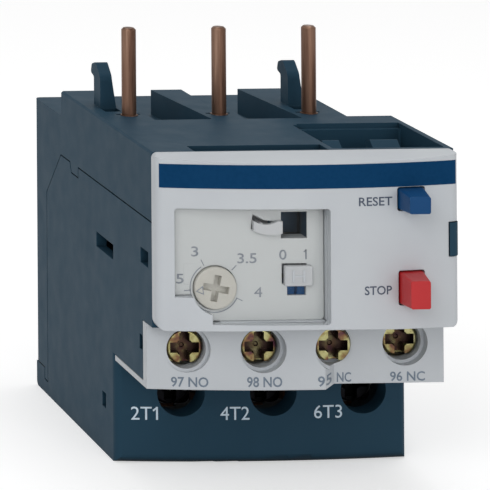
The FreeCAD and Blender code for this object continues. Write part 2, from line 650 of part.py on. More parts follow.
def front_housing():
    """Lower casing: side cheeks, floor with wire entries, bowed terminal face."""
    cheek_y = AUX_LEFT_FACE_Y + AUX_BOW + AUX_FLANGE + FIT_GAP
    under_parting = [
        (cheek_y, TERMINAL_TOP_Z),
        (cheek_y, COVER_LOW_Z),
        (0.0, COVER_LOW_Z)]
    under_parting += parting_line(0.0)
    rounded_y = TERMINAL_SIDE_Y + TERMINAL_EDGE_RADIUS + FIT_GAP
    under_parting += [(HOUSING_DEPTH, 0.0, CORNER_RADIUS), (rounded_y, 0.0),
                      (rounded_y, TERMINAL_TOP_Z)]
    casing = prism("x", under_parting, LEFT, RIGHT).cut(rear_notch(0.0, NOTCH_BOTTOM_Z))
    right_step = block(RIGHT - WALL - 1, RIGHT + 1, -1, AUX_RIGHT_FACE_Y + AUX_FLANGE + FIT_GAP,
                       TERMINAL_TOP_Z - 1, COVER_LOW_Z + FIT_GAP)
    casing = casing.cut(right_step)
    face_back = TERMINAL_SIDE_Y + FLOOR
    bowed_front = bowed_plate(TERMINAL_SIDE_Y, TERMINAL_MIDDLE_Y, face_back, 0.0,
                              TERMINAL_TOP_Z, RIGHT)
    bottom_edges = [e for e in bowed_front.Edges
                    if e.CenterOfMass.z < 0.01 and e.BoundBox.XLength > WALL
                    and e.CenterOfMass.y < TERMINAL_SIDE_Y]
    side_edges = [e for e in bowed_front.Edges
                  if e.BoundBox.ZLength > WALL and e.CenterOfMass.y < TERMINAL_SIDE_Y + 0.01]
    bowed_front = bowed_front.makeFillet(TERMINAL_EDGE_RADIUS, bottom_edges + side_edges)
    upper_space = housing_space(TERMINAL_TOP_Z, HOUSING_HEIGHT)
    open_front = block(LEFT + WALL, RIGHT - WALL, -1, 3 * WALL, TERMINAL_TOP_Z, HOUSING_HEIGHT)
    lower_space = block(LEFT + WALL, RIGHT - WALL, face_back,
                        HOUSING_DEPTH + 1, FLOOR, TERMINAL_TOP_Z - SHELF_WALL)
    behind_shelf = block(LEFT + WALL, RIGHT - WALL, SLIDER_Y - 2.0, HOUSING_DEPTH - WALL,
                         FLOOR, NOTCH_BOTTOM_Z - WALL)
    back_door = block(LEFT - 1, RIGHT + 1, PARTING_BACK_Y, HOUSING_DEPTH + 1,
                      LATCH_TOP_Z, HOUSING_HEIGHT)
    latch_slot = block(LEFT - 1, RIGHT + 1, PARTING_BACK_Y, HOUSING_DEPTH - LATCH_WIDTH,
                       LATCH_LOW_Z, HOUSING_HEIGHT)
    casing = casing.cut([upper_space, open_front, lower_space, behind_shelf, back_door,
                         latch_slot])
    sleeves = [rod_y(x, POWER_SCREW_Z, DRIVER_HOLE_RADIUS + SLEEVE_WALL,
                     TERMINAL_SIDE_Y, face_back + SLEEVE_WALL) for x in TERMINAL_X]
    lug = prism("z", [
        (RIGHT - LUG_WIDTH, -COVER_EDGE - LUG_PROUD),
        (RIGHT, -COVER_EDGE - LUG_PROUD, COVER_SIDE_RADIUS),
        (RIGHT, WALL),
        (RIGHT - LUG_WIDTH, WALL)], LUG_LOW_Z, LUG_LOW_Z + LUG_HEIGHT)
    casing = join(casing, bowed_front, lug, *sleeves, *pole_walls())
    cutters = [rod_y(x, POWER_SCREW_Z, DRIVER_HOLE_RADIUS, 0,
                     face_back + SLEEVE_WALL + 1) for x in TERMINAL_X]
    cutters += [prism("z", rounded_rectangle(
        x - WIRE_ENTRY_WIDTH / 2, x + WIRE_ENTRY_WIDTH / 2,
        POWER_HEAD_Y + POWER_HEAD_DEPTH + POWER_CLAMP_THICKNESS + 0.2,
        BUSBAR_PLATE_Y - 0.2, 0.8), -1, FLOOR + 1) for x in TERMINAL_X]
    cutters.append(left_window(*TEST_WINDOW))
    for side in (1, -1):
        for window in CATCH_WINDOWS:
            low, high = sorted((side * (LEFT - 1), side * (LEFT + WALL + 0.5)))
            cutters.append(block(low, high, *window))
    return casing.cut(cutters)


# ---------------------------------------------------------------- power path
def input_pin(pole):
    """Copper pin that plugs into the contactor."""
    tip_z = HOUSING_HEIGHT + PIN_PROJECTION
    pin = rod_z(PIN_X[pole], PIN_Y, PIN_RADIUS, HOUSING_HEIGHT, tip_z)
    tip = [e for e in pin.Edges if e.CenterOfMass.z > tip_z - 0.01]
    shoulder = rod_z(PIN_X[pole], PIN_Y, PIN_SHOULDER_RADIUS, PIN_LOW_Z,
                     HOUSING_HEIGHT + PIN_SHOULDER_RISE)
    return join(pin.makeChamfer(PIN_TIP_CHAMFER, tip), shoulder)


def bimetal_strip(pole):
    """Bimetal that stands on the foot of the output terminal."""
    x = PIN_X[pole]
    half = BIMETAL_WIDTH / 2
    return block(x - BIMETAL_THICKNESS / 2, x + BIMETAL_THICKNESS / 2,
                 BIMETAL_Y - half, BIMETAL_Y + half,
                 BUSBAR_Z + BUSBAR_THICKNESS, BIMETAL_TOP_Z)


def heater_winding(pole):
    """Flat ribbon wound round the bimetal, with a lead up to the pin."""
    x = PIN_X[pole]
    inner_x = BIMETAL_THICKNESS / 2 + HEATER_AIR
    inner_y = BIMETAL_WIDTH / 2 + HEATER_AIR
    outer_x = inner_x + HEATER_RIBBON
    outer_y = inner_y + HEATER_RIBBON
    pieces = []
    for turn in range(HEATER_TURNS):
        z = HEATER_LOW_Z + turn * HEATER_PITCH
        ring = block(x - outer_x, x + outer_x, BIMETAL_Y - outer_y, BIMETAL_Y + outer_y,
                     z, z + HEATER_RIBBON_WIDTH)
        ring = ring.cut(block(x - inner_x, x + inner_x, BIMETAL_Y - inner_y,
                              BIMETAL_Y + inner_y, z - 1, z + HEATER_RIBBON_WIDTH + 1))
        pieces.append(ring)
        riser_y = BIMETAL_Y + (inner_y if turn % 2 else -outer_y)
        if turn < HEATER_TURNS - 1:
            pieces.append(block(x - outer_x, x - inner_x + 0.4, riser_y,
                                riser_y + HEATER_RIBBON, z, z + HEATER_PITCH + 0.2))
    coil_top = HEATER_LOW_Z + (HEATER_TURNS - 1) * HEATER_PITCH
    lead_back = BIMETAL_Y + outer_y + LEAD_THICKNESS
    pieces.append(block(x - LEAD_WIDTH / 2, x + LEAD_WIDTH / 2, BIMETAL_Y + outer_y,
                        lead_back, coil_top, PIN_LOW_Z))
    pieces.append(block(x - LEAD_WIDTH / 2, x + LEAD_WIDTH / 2, PIN_Y - PIN_RADIUS,
                        lead_back, PIN_LOW_Z - LEAD_THICKNESS, PIN_LOW_Z))
    pieces.append(block(x - LEAD_WIDTH / 2, x + LEAD_WIDTH / 2, BIMETAL_Y + inner_y,
                        BIMETAL_Y + outer_y, BUSBAR_Z + BUSBAR_THICKNESS,
                        HEATER_LOW_Z + HEATER_RIBBON_WIDTH))
    return join(*pieces)


def output_terminal(pole):
    """Copper bar from the bimetal's foot to the upturned terminal plate."""
    pin_x = PIN_X[pole]
    screw_x = TERMINAL_X[pole]
    half_foot = BUSBAR_FOOT_WIDTH / 2
    half_plate = BUSBAR_PLATE_WIDTH / 2
    plate_back = BUSBAR_PLATE_Y + BUSBAR_THICKNESS
    foot_back = BIMETAL_Y + BIMETAL_WIDTH / 2 + 1.4
    plan = [
        (pin_x - half_foot, plate_back + 2.2),
        (screw_x - half_plate, BUSBAR_PLATE_Y),
        (screw_x + half_plate, BUSBAR_PLATE_Y),
        (screw_x + half_plate, plate_back, 0.6),
        (pin_x + half_foot, plate_back + 3.4, 0.6),
        (pin_x + half_foot, foot_back, 0.6),
        (pin_x - half_foot, foot_back, 0.6),
    ]
    bar = prism("z", plan, BUSBAR_Z, BUSBAR_Z + BUSBAR_THICKNESS)
    plate = prism("y", [
        (screw_x - half_plate, BUSBAR_Z),
        (screw_x + half_plate, BUSBAR_Z),
        (screw_x + half_plate, BUSBAR_Z + BUSBAR_PLATE_HEIGHT, 0.9),
        (screw_x - half_plate, BUSBAR_Z + BUSBAR_PLATE_HEIGHT, 0.9),
    ], BUSBAR_PLATE_Y, plate_back)
    bore = rod_y(screw_x, POWER_SCREW_Z, POWER_SHANK_RADIUS + PIN_BORE_GAP,
                 BUSBAR_PLATE_Y - 1, plate_back + 1)
    return join(bar, plate).cut(bore)


def screw(x, z, head_y, head_radius, head_depth, shank_radius, shank_end, flat):
    """Combination-head screw along Y, with a flat under the head where one is given."""
    head = rod_y(x, z, head_radius, head_y, head_y + head_depth)
    rim = [e for e in head.Edges if e.CenterOfMass.y < head_y + 0.01]
    head = head.makeFillet(head_depth * 0.22, rim)
    if flat > 0:
        head = head.cut(block(x - head_radius, x + head_radius, head_y - 1,
                              head_y + head_depth + 1, z - head_radius - 1,
                              z - head_radius + flat))
    cross_half = head_radius * 0.8
    slot = head_radius * 0.2
    cutters = [
        block(x - slot, x + slot, head_y - 1, head_y + head_depth * 0.45,
              z - head_radius - 1, z + head_radius + 1),
        block(x - cross_half, x + cross_half, head_y - 1, head_y + head_depth * 0.8,
              z - slot * 1.4, z + slot * 1.4),
        block(x - slot * 1.4, x + slot * 1.4, head_y - 1, head_y + head_depth * 0.8,
              z - cross_half, z + cross_half),
        Part.makeCone(head_radius * 0.5, head_radius * 0.1, head_depth * 0.9,
                      V(x, head_y, z), V(0, 1, 0)),
    ]
    shank = rod_y(x, z, shank_radius, head_y + head_depth - 0.2, shank_end)
    return join(head.cut(cutters), shank)


def power_terminal_screws():
    """Three captive screws behind the driver holes."""
    return group([screw(x, POWER_SCREW_Z, POWER_HEAD_Y, POWER_HEAD_RADIUS, POWER_HEAD_DEPTH,
                        POWER_SHANK_RADIUS, BUSBAR_PLATE_Y + BUSBAR_THICKNESS + 0.6, 0.0)
                  for x in TERMINAL_X])


def clamp_washer(x, z, y, size, thickness, bore_radius):
    """Square clamp washer with turned corners."""
    half = size / 2
    plate = prism("y", rounded_rectangle(x - half, x + half, z - half, z + half, size * 0.16),
                  y, y + thickness)
    return plate.cut(rod_y(x, z, bore_radius, y - 1, y + thickness + 1))


def power_clamps():
    """Square washers that press each power wire on its plate."""
    y = POWER_HEAD_Y + POWER_HEAD_DEPTH
    return group([clamp_washer(x, POWER_SCREW_Z, y, POWER_CLAMP_SIZE, POWER_CLAMP_THICKNESS,
                               POWER_SHANK_RADIUS + PIN_BORE_GAP) for x in TERMINAL_X])


# ---------------------------------------------------------------- cover and window
def window_outline(inset):
    """Window with its solid lower left corner hollowed round the dial."""
    left = WINDOW_X + inset
    right = WINDOW_X + WINDOW_WIDTH - inset
    low = WINDOW_LOW_Z + inset
    top = WINDOW_LOW_Z + WINDOW_HEIGHT - inset
    frame = prism("y", rounded_rectangle(left, right, low, top, WINDOW_RADIUS), -FAR, FAR)
    corner = block(LEFT, WINDOW_X + SEAL_BLOCK_WIDTH + inset, -FAR, 2 * FAR,
                   0, WINDOW_LOW_Z + SEAL_BLOCK_HEIGHT + inset)
    round_dial = rod_y(DIAL_X, DIAL_Z, DIAL_RADIUS + DIAL_GROOVE_CLEARANCE - inset, -FAR, FAR)
    return frame.cut(corner.cut(round_dial))


def flap_axis():
    """Centre (x, y) of the flap's hinge barrel, in the window's right edge."""
    x = WINDOW_X + WINDOW_WIDTH - FLAP_BARREL_RADIUS - FLAP_GAP
    return x, cover_face_y(x) + FLAP_BARREL_RADIUS


def button_opening(z, width, height, gap, y_low, y_high):
    """Rectangular passage for a push button."""
    return prism("y", rounded_rectangle(
        BUTTON_X - width / 2 - gap, BUTTON_X + width / 2 + gap,
        z - height / 2 - gap, z + height / 2 + gap, 0.4), y_low, y_high)


def front_cover():
    """White bowed cover with its window, button openings and the notch for the lug."""
    body = bowed_plate(-COVER_EDGE, -COVER_MIDDLE, 0.0, COVER_LOW_Z, HOUSING_HEIGHT, RIGHT)
    body = body.makeFillet(COVER_SIDE_RADIUS, [
        e for e in body.Edges if e.BoundBox.ZLength > WALL
        and e.CenterOfMass.y < -COVER_EDGE + 0.01])
    face_outline = prism("y", [
        (LEFT, COVER_LOW_Z, COVER_LOW_RADIUS), (RIGHT, COVER_LOW_Z, COVER_LOW_RADIUS),
        (RIGHT, HOUSING_HEIGHT, COVER_TOP_RADIUS), (LEFT, HOUSING_HEIGHT, COVER_TOP_RADIUS),
    ], -FAR, FAR)
    body = body.common(face_outline)
    front = -COVER_MIDDLE
    top_slope = prism("x", [
        (front - 1, HOUSING_HEIGHT - COVER_TOP_SLOPE - 0.3),
        (front * 0.62, HOUSING_HEIGHT - COVER_TOP_SLOPE * 0.5, 2.0),
        (front * 0.1, HOUSING_HEIGHT + 0.01),
        (front * 0.1, HOUSING_HEIGHT + 2),
        (front - 1, HOUSING_HEIGHT + 2)], LEFT - 1, RIGHT + 1)
    low_slope = prism("x", [
        (front - 1, COVER_LOW_Z + 0.9),
        (front + 0.6, COVER_LOW_Z + 0.25, 0.8),
        (front * 0.24, COVER_LOW_Z - 0.01),
        (front - 1, COVER_LOW_Z - 1)], LEFT - 1, RIGHT + 1)
    body = body.cut([top_slope, low_slope])
    inside = bowed_plate(-COVER_EDGE + COVER_SKIN, -COVER_MIDDLE + COVER_SKIN, 1.0,
                         COVER_LOW_Z + COVER_RIM, HOUSING_HEIGHT - COVER_RIM - 0.6,
                         RIGHT - COVER_RIM)
    x, y = flap_axis()
    hinge_holes = [rod_z(x, y, FLAP_PIN_RADIUS + FLAP_PIN_GAP, z, z + FLAP_PIN_LENGTH + 0.2)
                   for z in (WINDOW_LOW_Z - FLAP_PIN_LENGTH - 0.2 + 0.01,
                             WINDOW_LOW_Z + WINDOW_HEIGHT - 0.01)]
    notch = block(RIGHT - LUG_WIDTH - FIT_GAP, RIGHT + 1, -FAR, 1,
                  LUG_LOW_Z - FIT_GAP, LUG_LOW_Z + LUG_HEIGHT + FIT_GAP)
    cutters = [inside, window_outline(0.0), notch]
    cutters += hinge_holes
    cutters.append(button_opening(RESET_Z, RESET_WIDTH, RESET_HEIGHT, BUTTON_GAP, -FAR, FAR))
    cutters.append(button_opening(STOP_Z, STOP_WIDTH, STOP_HEIGHT, BUTTON_GAP, -FAR, FAR))
    return body.cut(cutters)


def window_flap():
    """Clear flap that follows the cover's bow, hinged at the window's right edge."""
    x, y = flap_axis()
    centre, radius = cover_arc()
    low = WINDOW_LOW_Z + FLAP_GAP
    top = WINDOW_LOW_Z + WINDOW_HEIGHT - FLAP_GAP
    shell = rod_z(centre.x, centre.y, radius, low, top)
    shell = shell.cut(rod_z(centre.x, centre.y, radius - FLAP_THICKNESS, low - 1, top + 1))
    shell = shell.common(window_outline(FLAP_GAP))
    shell = shell.common(block(LEFT, x, -FAR, centre.y, 0, HOUSING_HEIGHT))
    barrel = rod_z(x, y, FLAP_BARREL_RADIUS, low, top)
    pins = rod_z(x, y, FLAP_PIN_RADIUS, low - FLAP_PIN_LENGTH, top + FLAP_PIN_LENGTH)
    lip = block(WINDOW_X + 1.2, WINDOW_X + 3.4, cover_face_y(WINDOW_X + 1.2) - 0.3,
                cover_face_y(WINDOW_X + 2.4) + FLAP_THICKNESS / 2,
                WINDOW_LOW_Z + SEAL_BLOCK_HEIGHT + 2.0, WINDOW_LOW_Z + SEAL_BLOCK_HEIGHT + 5.0)
    return join(shell, barrel, pins, lip)


# ---------------------------------------------------------------- contact block
def aux_step_line(y_offset, inset):
    """Front line of the auxiliary block: forward on the left, set back on the right."""
    bowed = []
    for step in range(AUX_BOW_STEPS + 1):
        x = (LEFT + inset) * (1 - step / AUX_BOW_STEPS)
        bowed.append((x, AUX_LEFT_FACE_Y + AUX_BOW * (x / LEFT) ** 2 + y_offset))
    return bowed + [
        (AUX_STEP_X, AUX_LEFT_FACE_Y + y_offset),
        (AUX_STEP_X + AUX_STEP_RUN, AUX_RIGHT_FACE_Y + y_offset),
        (RIGHT - inset, AUX_RIGHT_FACE_Y + y_offset),
    ]


def aux_front(y_offset, y_back, z_low, z_high, inset):
    """Solid between the stepped front line and a straight back."""
    plan = aux_step_line(y_offset, inset) + [(RIGHT - inset, y_back), (LEFT + inset, y_back)]
    return prism("z", plan, z_low, z_high)


def selector_pocket():
    """Pocket behind the face plate in which the mode selector slides."""
    x = LEFT + SELECTOR_X
    return block(x - 1.6 - SELECTOR_TRAVEL, x + SELECTOR_WIDTH + 1.6 + SELECTOR_TRAVEL,
                 FLOOR_Y + 0.5, BACKPLATE_Y + 1, SELECTOR_LOW_Z - 0.6, SELECTOR_LOW_Z + 1.9)


def contact_block():
    """White moulding: auxiliary terminals below, dial face and backplate above."""
    cheek = WALL + FIT_GAP
    top = COVER_LOW_Z - FIT_GAP
    flange = aux_front(0.0, AUX_RIGHT_FACE_Y + AUX_FLANGE, AUX_LOW_Z, top, 0.0)
    flange = flange.cut(aux_front(AUX_FLANGE, FAR, AUX_LOW_Z - 1, top + 1, -1.0))
    body = aux_front(0.0, AUX_BACK_Y, AUX_LOW_Z, top, cheek)
    sill = aux_front(0.0, TERMINAL_SIDE_Y, AUX_LOW_Z, TERMINAL_TOP_Z - FIT_GAP, 0.0)
    under_face = bowed_plate(TERMINAL_SIDE_Y - FIT_GAP, TERMINAL_MIDDLE_Y - FIT_GAP, FAR, 0,
                             TERMINAL_TOP_Z + FIT_GAP, RIGHT + 1)
    pad = window_outline(FIT_GAP).common(block(LEFT, RIGHT, FLOOR_Y, PAD_BACK_Y + 0.3, 0,
                                               HOUSING_HEIGHT))
    backplate = block(LEFT + cheek, RIGHT - cheek, PAD_BACK_Y, BACKPLATE_Y,
                      COVER_LOW_Z + COVER_RIM + FIT_GAP, BACKPLATE_TOP_Z)
    neck = block(LEFT + cheek, RIGHT - cheek, PAD_BACK_Y, AUX_RIGHT_FACE_Y + 1.0,
                 top, top + 0.9)
    neck = neck.cut(block(LEFT, RIGHT, PAD_BACK_Y - 1, AUX_LEFT_FACE_Y + 0.2,
                          top - 1, COVER_LOW_Z + COVER_RIM + FIT_GAP))
    web = block(LEFT + cheek, RIGHT - cheek, AUX_LEFT_FACE_Y + 0.2, BACKPLATE_Y + 0.6,
                top, COVER_LOW_Z + COVER_RIM + 2.0)
    half_bracket = RESET_WIDTH / 2 + BUTTON_FLANGE + BRACKET_SIDE_GAP + BRACKET_THICKNESS
    bracket_x = (BUTTON_X - half_bracket, BUTTON_X + half_bracket)
    bracket = block(bracket_x[0], bracket_x[1], BRACKET_Y, BRACKET_Y + BRACKET_THICKNESS,
                    top - 0.3, BACKPLATE_TOP_Z)
    ribs = [block(x, x + 1.0, BACKPLATE_Y - 0.2, BRACKET_Y + 0.2, top - 0.3, BACKPLATE_TOP_Z)
            for x in (bracket_x[0], bracket_x[1] - 1.0)]
    lever_x = DIAL_X + LEVER_PIN_REACH
    lever_z = LEVER_PIN_Z
    lever_boss = rod_y(lever_x, lever_z, LEVER_PIN_RADIUS + 0.8, BACKPLATE_Y - 0.2,
                       CAM_FRONT_Y - 0.4)
    rocker_seat = block(ROCKER_PIN_X - 2.4, ROCKER_PIN_X + 2.4, AUX_DEPTH - 2.0,
                        ROCKER_PIN_Y + 2.4, top - 1.6, top)
    block_shape = join(body, flange, sill, pad, backplate, neck, web, bracket, *ribs, lever_boss,
                       rocker_seat)
    cutters = [under_face]
    for place, (x, face) in enumerate(zip(AUX_X, AUX_FACE_Y)):
        head_y = face + AUX_HEAD_RECESS
        half = AUX_CHAMBER_WIDTH / 2
        cutters.append(rod_y(x, AUX_SCREW_Z, AUX_HOLE_RADIUS, -1, head_y - 0.7))
        cutters.append(rod_y(x, AUX_SCREW_Z, AUX_STEP_RADIUS, -1, head_y + AUX_HEAD_DEPTH + 1))
        back_y = head_y + AUX_HEAD_DEPTH + AUX_WASHER_THICKNESS
        cutters.append(block(x - half, x + half, head_y + AUX_HEAD_DEPTH - 0.4,
                             strip_y(place) + STRIP_THICKNESS + 0.8, TERMINAL_TOP_Z + 0.4,
                             top - 0.6))
        cutters.append(block(x - half, x + half, back_y - 0.1, strip_y(place),
                             AUX_LOW_Z - 1, TERMINAL_TOP_Z + 1))
        cutters.append(block(x - STRIP_WIDTH / 2 - 0.4, x + STRIP_WIDTH / 2 + 0.4,
                             strip_y(place) - 0.2, strip_y(place) + STRIP_THICKNESS + 0.2,
                             top - 1, top + 3))
    cutters.append(rod_y(DIAL_X, DIAL_Z, DIAL_RADIUS + DIAL_CLEARANCE, -9, PAD_BACK_Y))
    cutters.append(rod_y(DIAL_X, DIAL_Z, DIAL_SHAFT_RADIUS + DIAL_SHAFT_GAP, -9, 9))
    cutters.append(block(LEFT + TEST_APERTURE_X, LEFT + TEST_APERTURE_X + TEST_APERTURE_WIDTH,
                         -9, BACKPLATE_Y + 1, TEST_APERTURE_LOW_Z,
                         TEST_APERTURE_LOW_Z + TEST_APERTURE_HEIGHT))
    test_left = LEFT + TEST_APERTURE_X - TEST_LEVER_WIDTH
    cutters.append(prism("y", [
        (test_left - 0.2, TEST_LEVER_LOW_Z + 0.6),
        (test_left + TEST_TRAVEL + 2.2, TEST_LEVER_LOW_Z + 0.6),
        (test_left + TEST_TRAVEL + 2.2, TEST_LEVER_LOW_Z + 1.7),
        (test_left + 1.7, TEST_LEVER_LOW_Z + 1.9),
        (test_left + 0.1, TEST_LEVER_LOW_Z + 2.8)], -9, BACKPLATE_Y + 1))
    flag_x = LEFT + TRIP_FLAG_X
    cutters.append(block(flag_x + 0.98 - TRIP_FLAG_TRAVEL, flag_x + TRIP_FLAG_WIDTH - 0.7, -9,
                         BACKPLATE_Y + 1,
                         TRIP_FLAG_LOW_Z + 0.2, TRIP_FLAG_LOW_Z + TRIP_FLAG_HEIGHT + 0.2))
    cutters.append(block(LEFT + SELECTOR_X, LEFT + SELECTOR_X + SELECTOR_WIDTH, -9, 0,
                         SELECTOR_LOW_Z, TRIP_FLAG_LOW_Z + 0.4))
    cutters.append(selector_pocket())
    for z, width, height in ((RESET_Z, RESET_WIDTH, RESET_HEIGHT),
                             (STOP_Z, STOP_WIDTH, STOP_HEIGHT)):
        cutters.append(button_opening(z, width, height, BUTTON_GAP, -9, BACKPLATE_Y + 0.1))
        cutters.append(rod_y(BUTTON_X, z, BUTTON_TAIL_RADIUS + 0.3, 0, BRACKET_Y + 3))
    cutters.append(rod_y(lever_x, lever_z, LEVER_PIN_RADIUS, 0.0, CAM_FRONT_Y + LEVER_THICKNESS))
    cutters.append(rod_z(ROCKER_PIN_X, ROCKER_PIN_Y, ROCKER_PIN_RADIUS, top - 1.2, top + 9))
    return block_shape.cut(cutters)


# ---------------------------------------------------------------- auxiliary contacts
def strip_y(place):
    """Front of a contact strip: both strips of a pair stand in one plane."""
    pair = place - place % 2
    return (max(AUX_FACE_Y[pair:pair + 2]) + AUX_HEAD_RECESS + AUX_HEAD_DEPTH
            + AUX_WASHER_THICKNESS + AUX_WIRE_GAP)


def tip_x(place):
    """Contact tip of each auxiliary terminal, moved off the terminal's middle."""
    return AUX_X[place] + TIP_OFFSETS[place]


def aux_terminal_screws():
    """Four terminal screws with the lower edge of the head cut flat."""
    screws = []
    for place, (x, face) in enumerate(zip(AUX_X, AUX_FACE_Y)):
        screws.append(screw(x, AUX_SCREW_Z, face + AUX_HEAD_RECESS, AUX_HEAD_RADIUS,
                            AUX_HEAD_DEPTH, AUX_SHANK_RADIUS,
                            strip_y(place) + STRIP_THICKNESS + 0.4, AUX_HEAD_FLAT))
    return group(screws)


def aux_clamp_washers():
    """Four square washers under the auxiliary screws."""
    return group([clamp_washer(x, AUX_SCREW_Z, face + AUX_HEAD_RECESS + AUX_HEAD_DEPTH,
                               AUX_WASHER_SIZE, AUX_WASHER_THICKNESS,
                               AUX_SHANK_RADIUS + PIN_BORE_GAP)
                  for x, face in zip(AUX_X, AUX_FACE_Y)])


def contact_strip(place):
    """Brass strip: threaded terminal plate below, contact blade above."""
    x = AUX_X[place]
    y = strip_y(place)
    half = STRIP_WIDTH / 2
    blade = STRIP_BLADE_WIDTH / 2
    blade_x = tip_x(place)
    shoulder = AUX_SCREW_Z + half
    points = [
        (x - half, STRIP_LOW_Z, 0.5), (x + half, STRIP_LOW_Z, 0.5), (x + half, shoulder, 0.5),
        (blade_x + blade, shoulder + STRIP_NECK), (blade_x + blade, STRIP_TOP_Z, 0.8),
        (blade_x - blade, STRIP_TOP_Z, 0.8), (blade_x - blade, shoulder + STRIP_NECK),
        (x - half, shoulder, 0.5)]
    strip = prism("y", points, y, y + STRIP_THICKNESS)
    return strip.cut(rod_y(x, AUX_SCREW_Z, AUX_SHANK_RADIUS + PIN_BORE_GAP, y - 1, y + 3))


def fixed_contact_tips():
    """Silver tips on the rear of the four strips."""
    tips = []
    for place in range(AUX_COUNT):
        back = strip_y(place) + STRIP_THICKNESS
        tips.append(rod_y(tip_x(place), TIP_Z, TIP_RADIUS, back, back + TIP_THICKNESS))
    return group(tips)


def moving_tip_y(first):
    """Front of the moving tips of a pair of terminals at rest."""
    gap = NO_GAP if first == 0 else NC_GAP
    return strip_y(first) + STRIP_THICKNESS + TIP_THICKNESS + gap


def moving_blade(first):
    """Spring blade that bridges a pair of fixed tips."""
    y = moving_tip_y(first) + TIP_THICKNESS
    half = STRIP_BLADE_WIDTH / 2
    points = rounded_rectangle(tip_x(first) - half, tip_x(first + 1) + half,
                               TIP_Z - half, TIP_Z + half, 0.9)
    return prism("y", points, y, y + BLADE_THICKNESS)


def moving_contact_tips():
    """Silver tips on the front of both moving blades."""
    tips = []
    for first in (0, 2):
        y = moving_tip_y(first)
        for place in (first, first + 1):
            tips.append(rod_y(tip_x(place), TIP_Z, TIP_RADIUS, y, y + TIP_THICKNESS))
    return group(tips)


def contact_rocker():
    """Rocker on the upright pin: an arm to each blade and a tail up to the slider."""
    low = ROCKER_LOW_Z
    high = low + ROCKER_ARM_HEIGHT
    no_y = moving_tip_y(0) + TIP_THICKNESS + BLADE_THICKNESS
    nc_y = moving_tip_y(2) + TIP_THICKNESS + BLADE_THICKNESS
    no_x = (tip_x(0) + tip_x(1)) / 2
    nc_x = (tip_x(2) + tip_x(3)) / 2
    pad = ROCKER_PAD_WIDTH / 2
    beam = ROCKER_BEAM
    arms = prism("z", [
        (no_x - pad, no_y), (no_x + pad, no_y), (no_x + pad, no_y + ROCKER_PAD_DEPTH, 0.3),
        (ROCKER_PIN_X, ROCKER_PIN_Y - beam / 2),
        (nc_x - pad, nc_y + ROCKER_PAD_DEPTH, 0.3), (nc_x - pad, nc_y),
        (nc_x + pad, nc_y), (nc_x + pad, nc_y + ROCKER_PAD_DEPTH + beam, 0.6),
        (ROCKER_PIN_X, ROCKER_PIN_Y + beam / 2),
        (no_x - pad, no_y + ROCKER_PAD_DEPTH + beam, 0.6)], low, high)
    hub = rod_z(ROCKER_PIN_X, ROCKER_PIN_Y, ROCKER_HUB_RADIUS,
                COVER_LOW_Z, SLIDER_Z + SLIDER_HEIGHT)
    half = ROCKER_TAIL_WIDTH / 2
    tail = prism("z", [
        (ROCKER_PIN_X - half, ROCKER_PIN_Y), (ROCKER_PIN_X + half, ROCKER_PIN_Y),
        (ROCKER_PIN_X + half, ROCKER_TAIL_END_Y, 0.7),
        (ROCKER_PIN_X - half, ROCKER_TAIL_END_Y, 0.7)],
        SLIDER_Z, SLIDER_Z + SLIDER_HEIGHT)
    bore = rod_z(ROCKER_PIN_X, ROCKER_PIN_Y, ROCKER_PIN_RADIUS + ROCKER_PIN_GAP, 0, FAR)
    return join(arms, hub, tail).cut(bore)


def rocker_pivot_pin():
    """Steel pin under the rocker, pressed into the contact block."""
    return rod_z(ROCKER_PIN_X, ROCKER_PIN_Y, ROCKER_PIN_RADIUS,
                 COVER_LOW_Z - FIT_GAP - 1.2, SLIDER_Z + SLIDER_HEIGHT + 0.6)


# ---------------------------------------------------------------- trip mechanism
def slider(z_low, finger_side, finger_gap, drives):
    """Comb across the three bimetals; the trip comb also drives the contact rocker."""
    y = SLIDER_Y
    left = PIN_X[0] - 2.0
    right = PIN_X[-1] + BIMETAL_THICKNESS / 2 + finger_gap + SLIDER_FINGER
    comb = [block(left, right, y, y + SLIDER_THICKNESS, z_low, z_low + SLIDER_HEIGHT)]
    face = BIMETAL_THICKNESS / 2 + finger_gap
    for x in PIN_X:
        near = x + finger_side * face
        low, high = sorted((near, near + finger_side * SLIDER_FINGER))
        comb.append(block(low, high, y, BIMETAL_Y + 1.0, z_low, z_low + SLIDER_HEIGHT))
    if drives:
        x = ROCKER_PIN_X + ROCKER_TAIL_WIDTH / 2 + ROCKER_FINGER_GAP
        comb.append(block(x, x + 1.4, ROCKER_TAIL_END_Y - 2.4, y + 0.2, z_low,
                          z_low + SLIDER_HEIGHT))
        x = DIAL_X + LEVER_PIN_REACH + COMPENSATOR_THICKNESS + SLIDER_TRAVEL + 0.8
        comb.append(block(x, x + 1.4, COMPENSATOR_END_Y - 1.6, y + 0.2, z_low,
                          z_low + SLIDER_HEIGHT))
    return join(*comb)


def trip_slider():
    """Upper comb, pushed to the left by the heated bimetals."""
    return slider(SLIDER_Z, -1, FINGER_GAP, True)


def differential_slider():
    """Lower comb, held back by the coolest bimetal when a phase fails."""
    return slider(SLIDER_Z - SLIDER_HEIGHT - SLIDER_GAP, 1,
                  SLIDER_TRAVEL + DIFFERENTIAL_GAP, False)


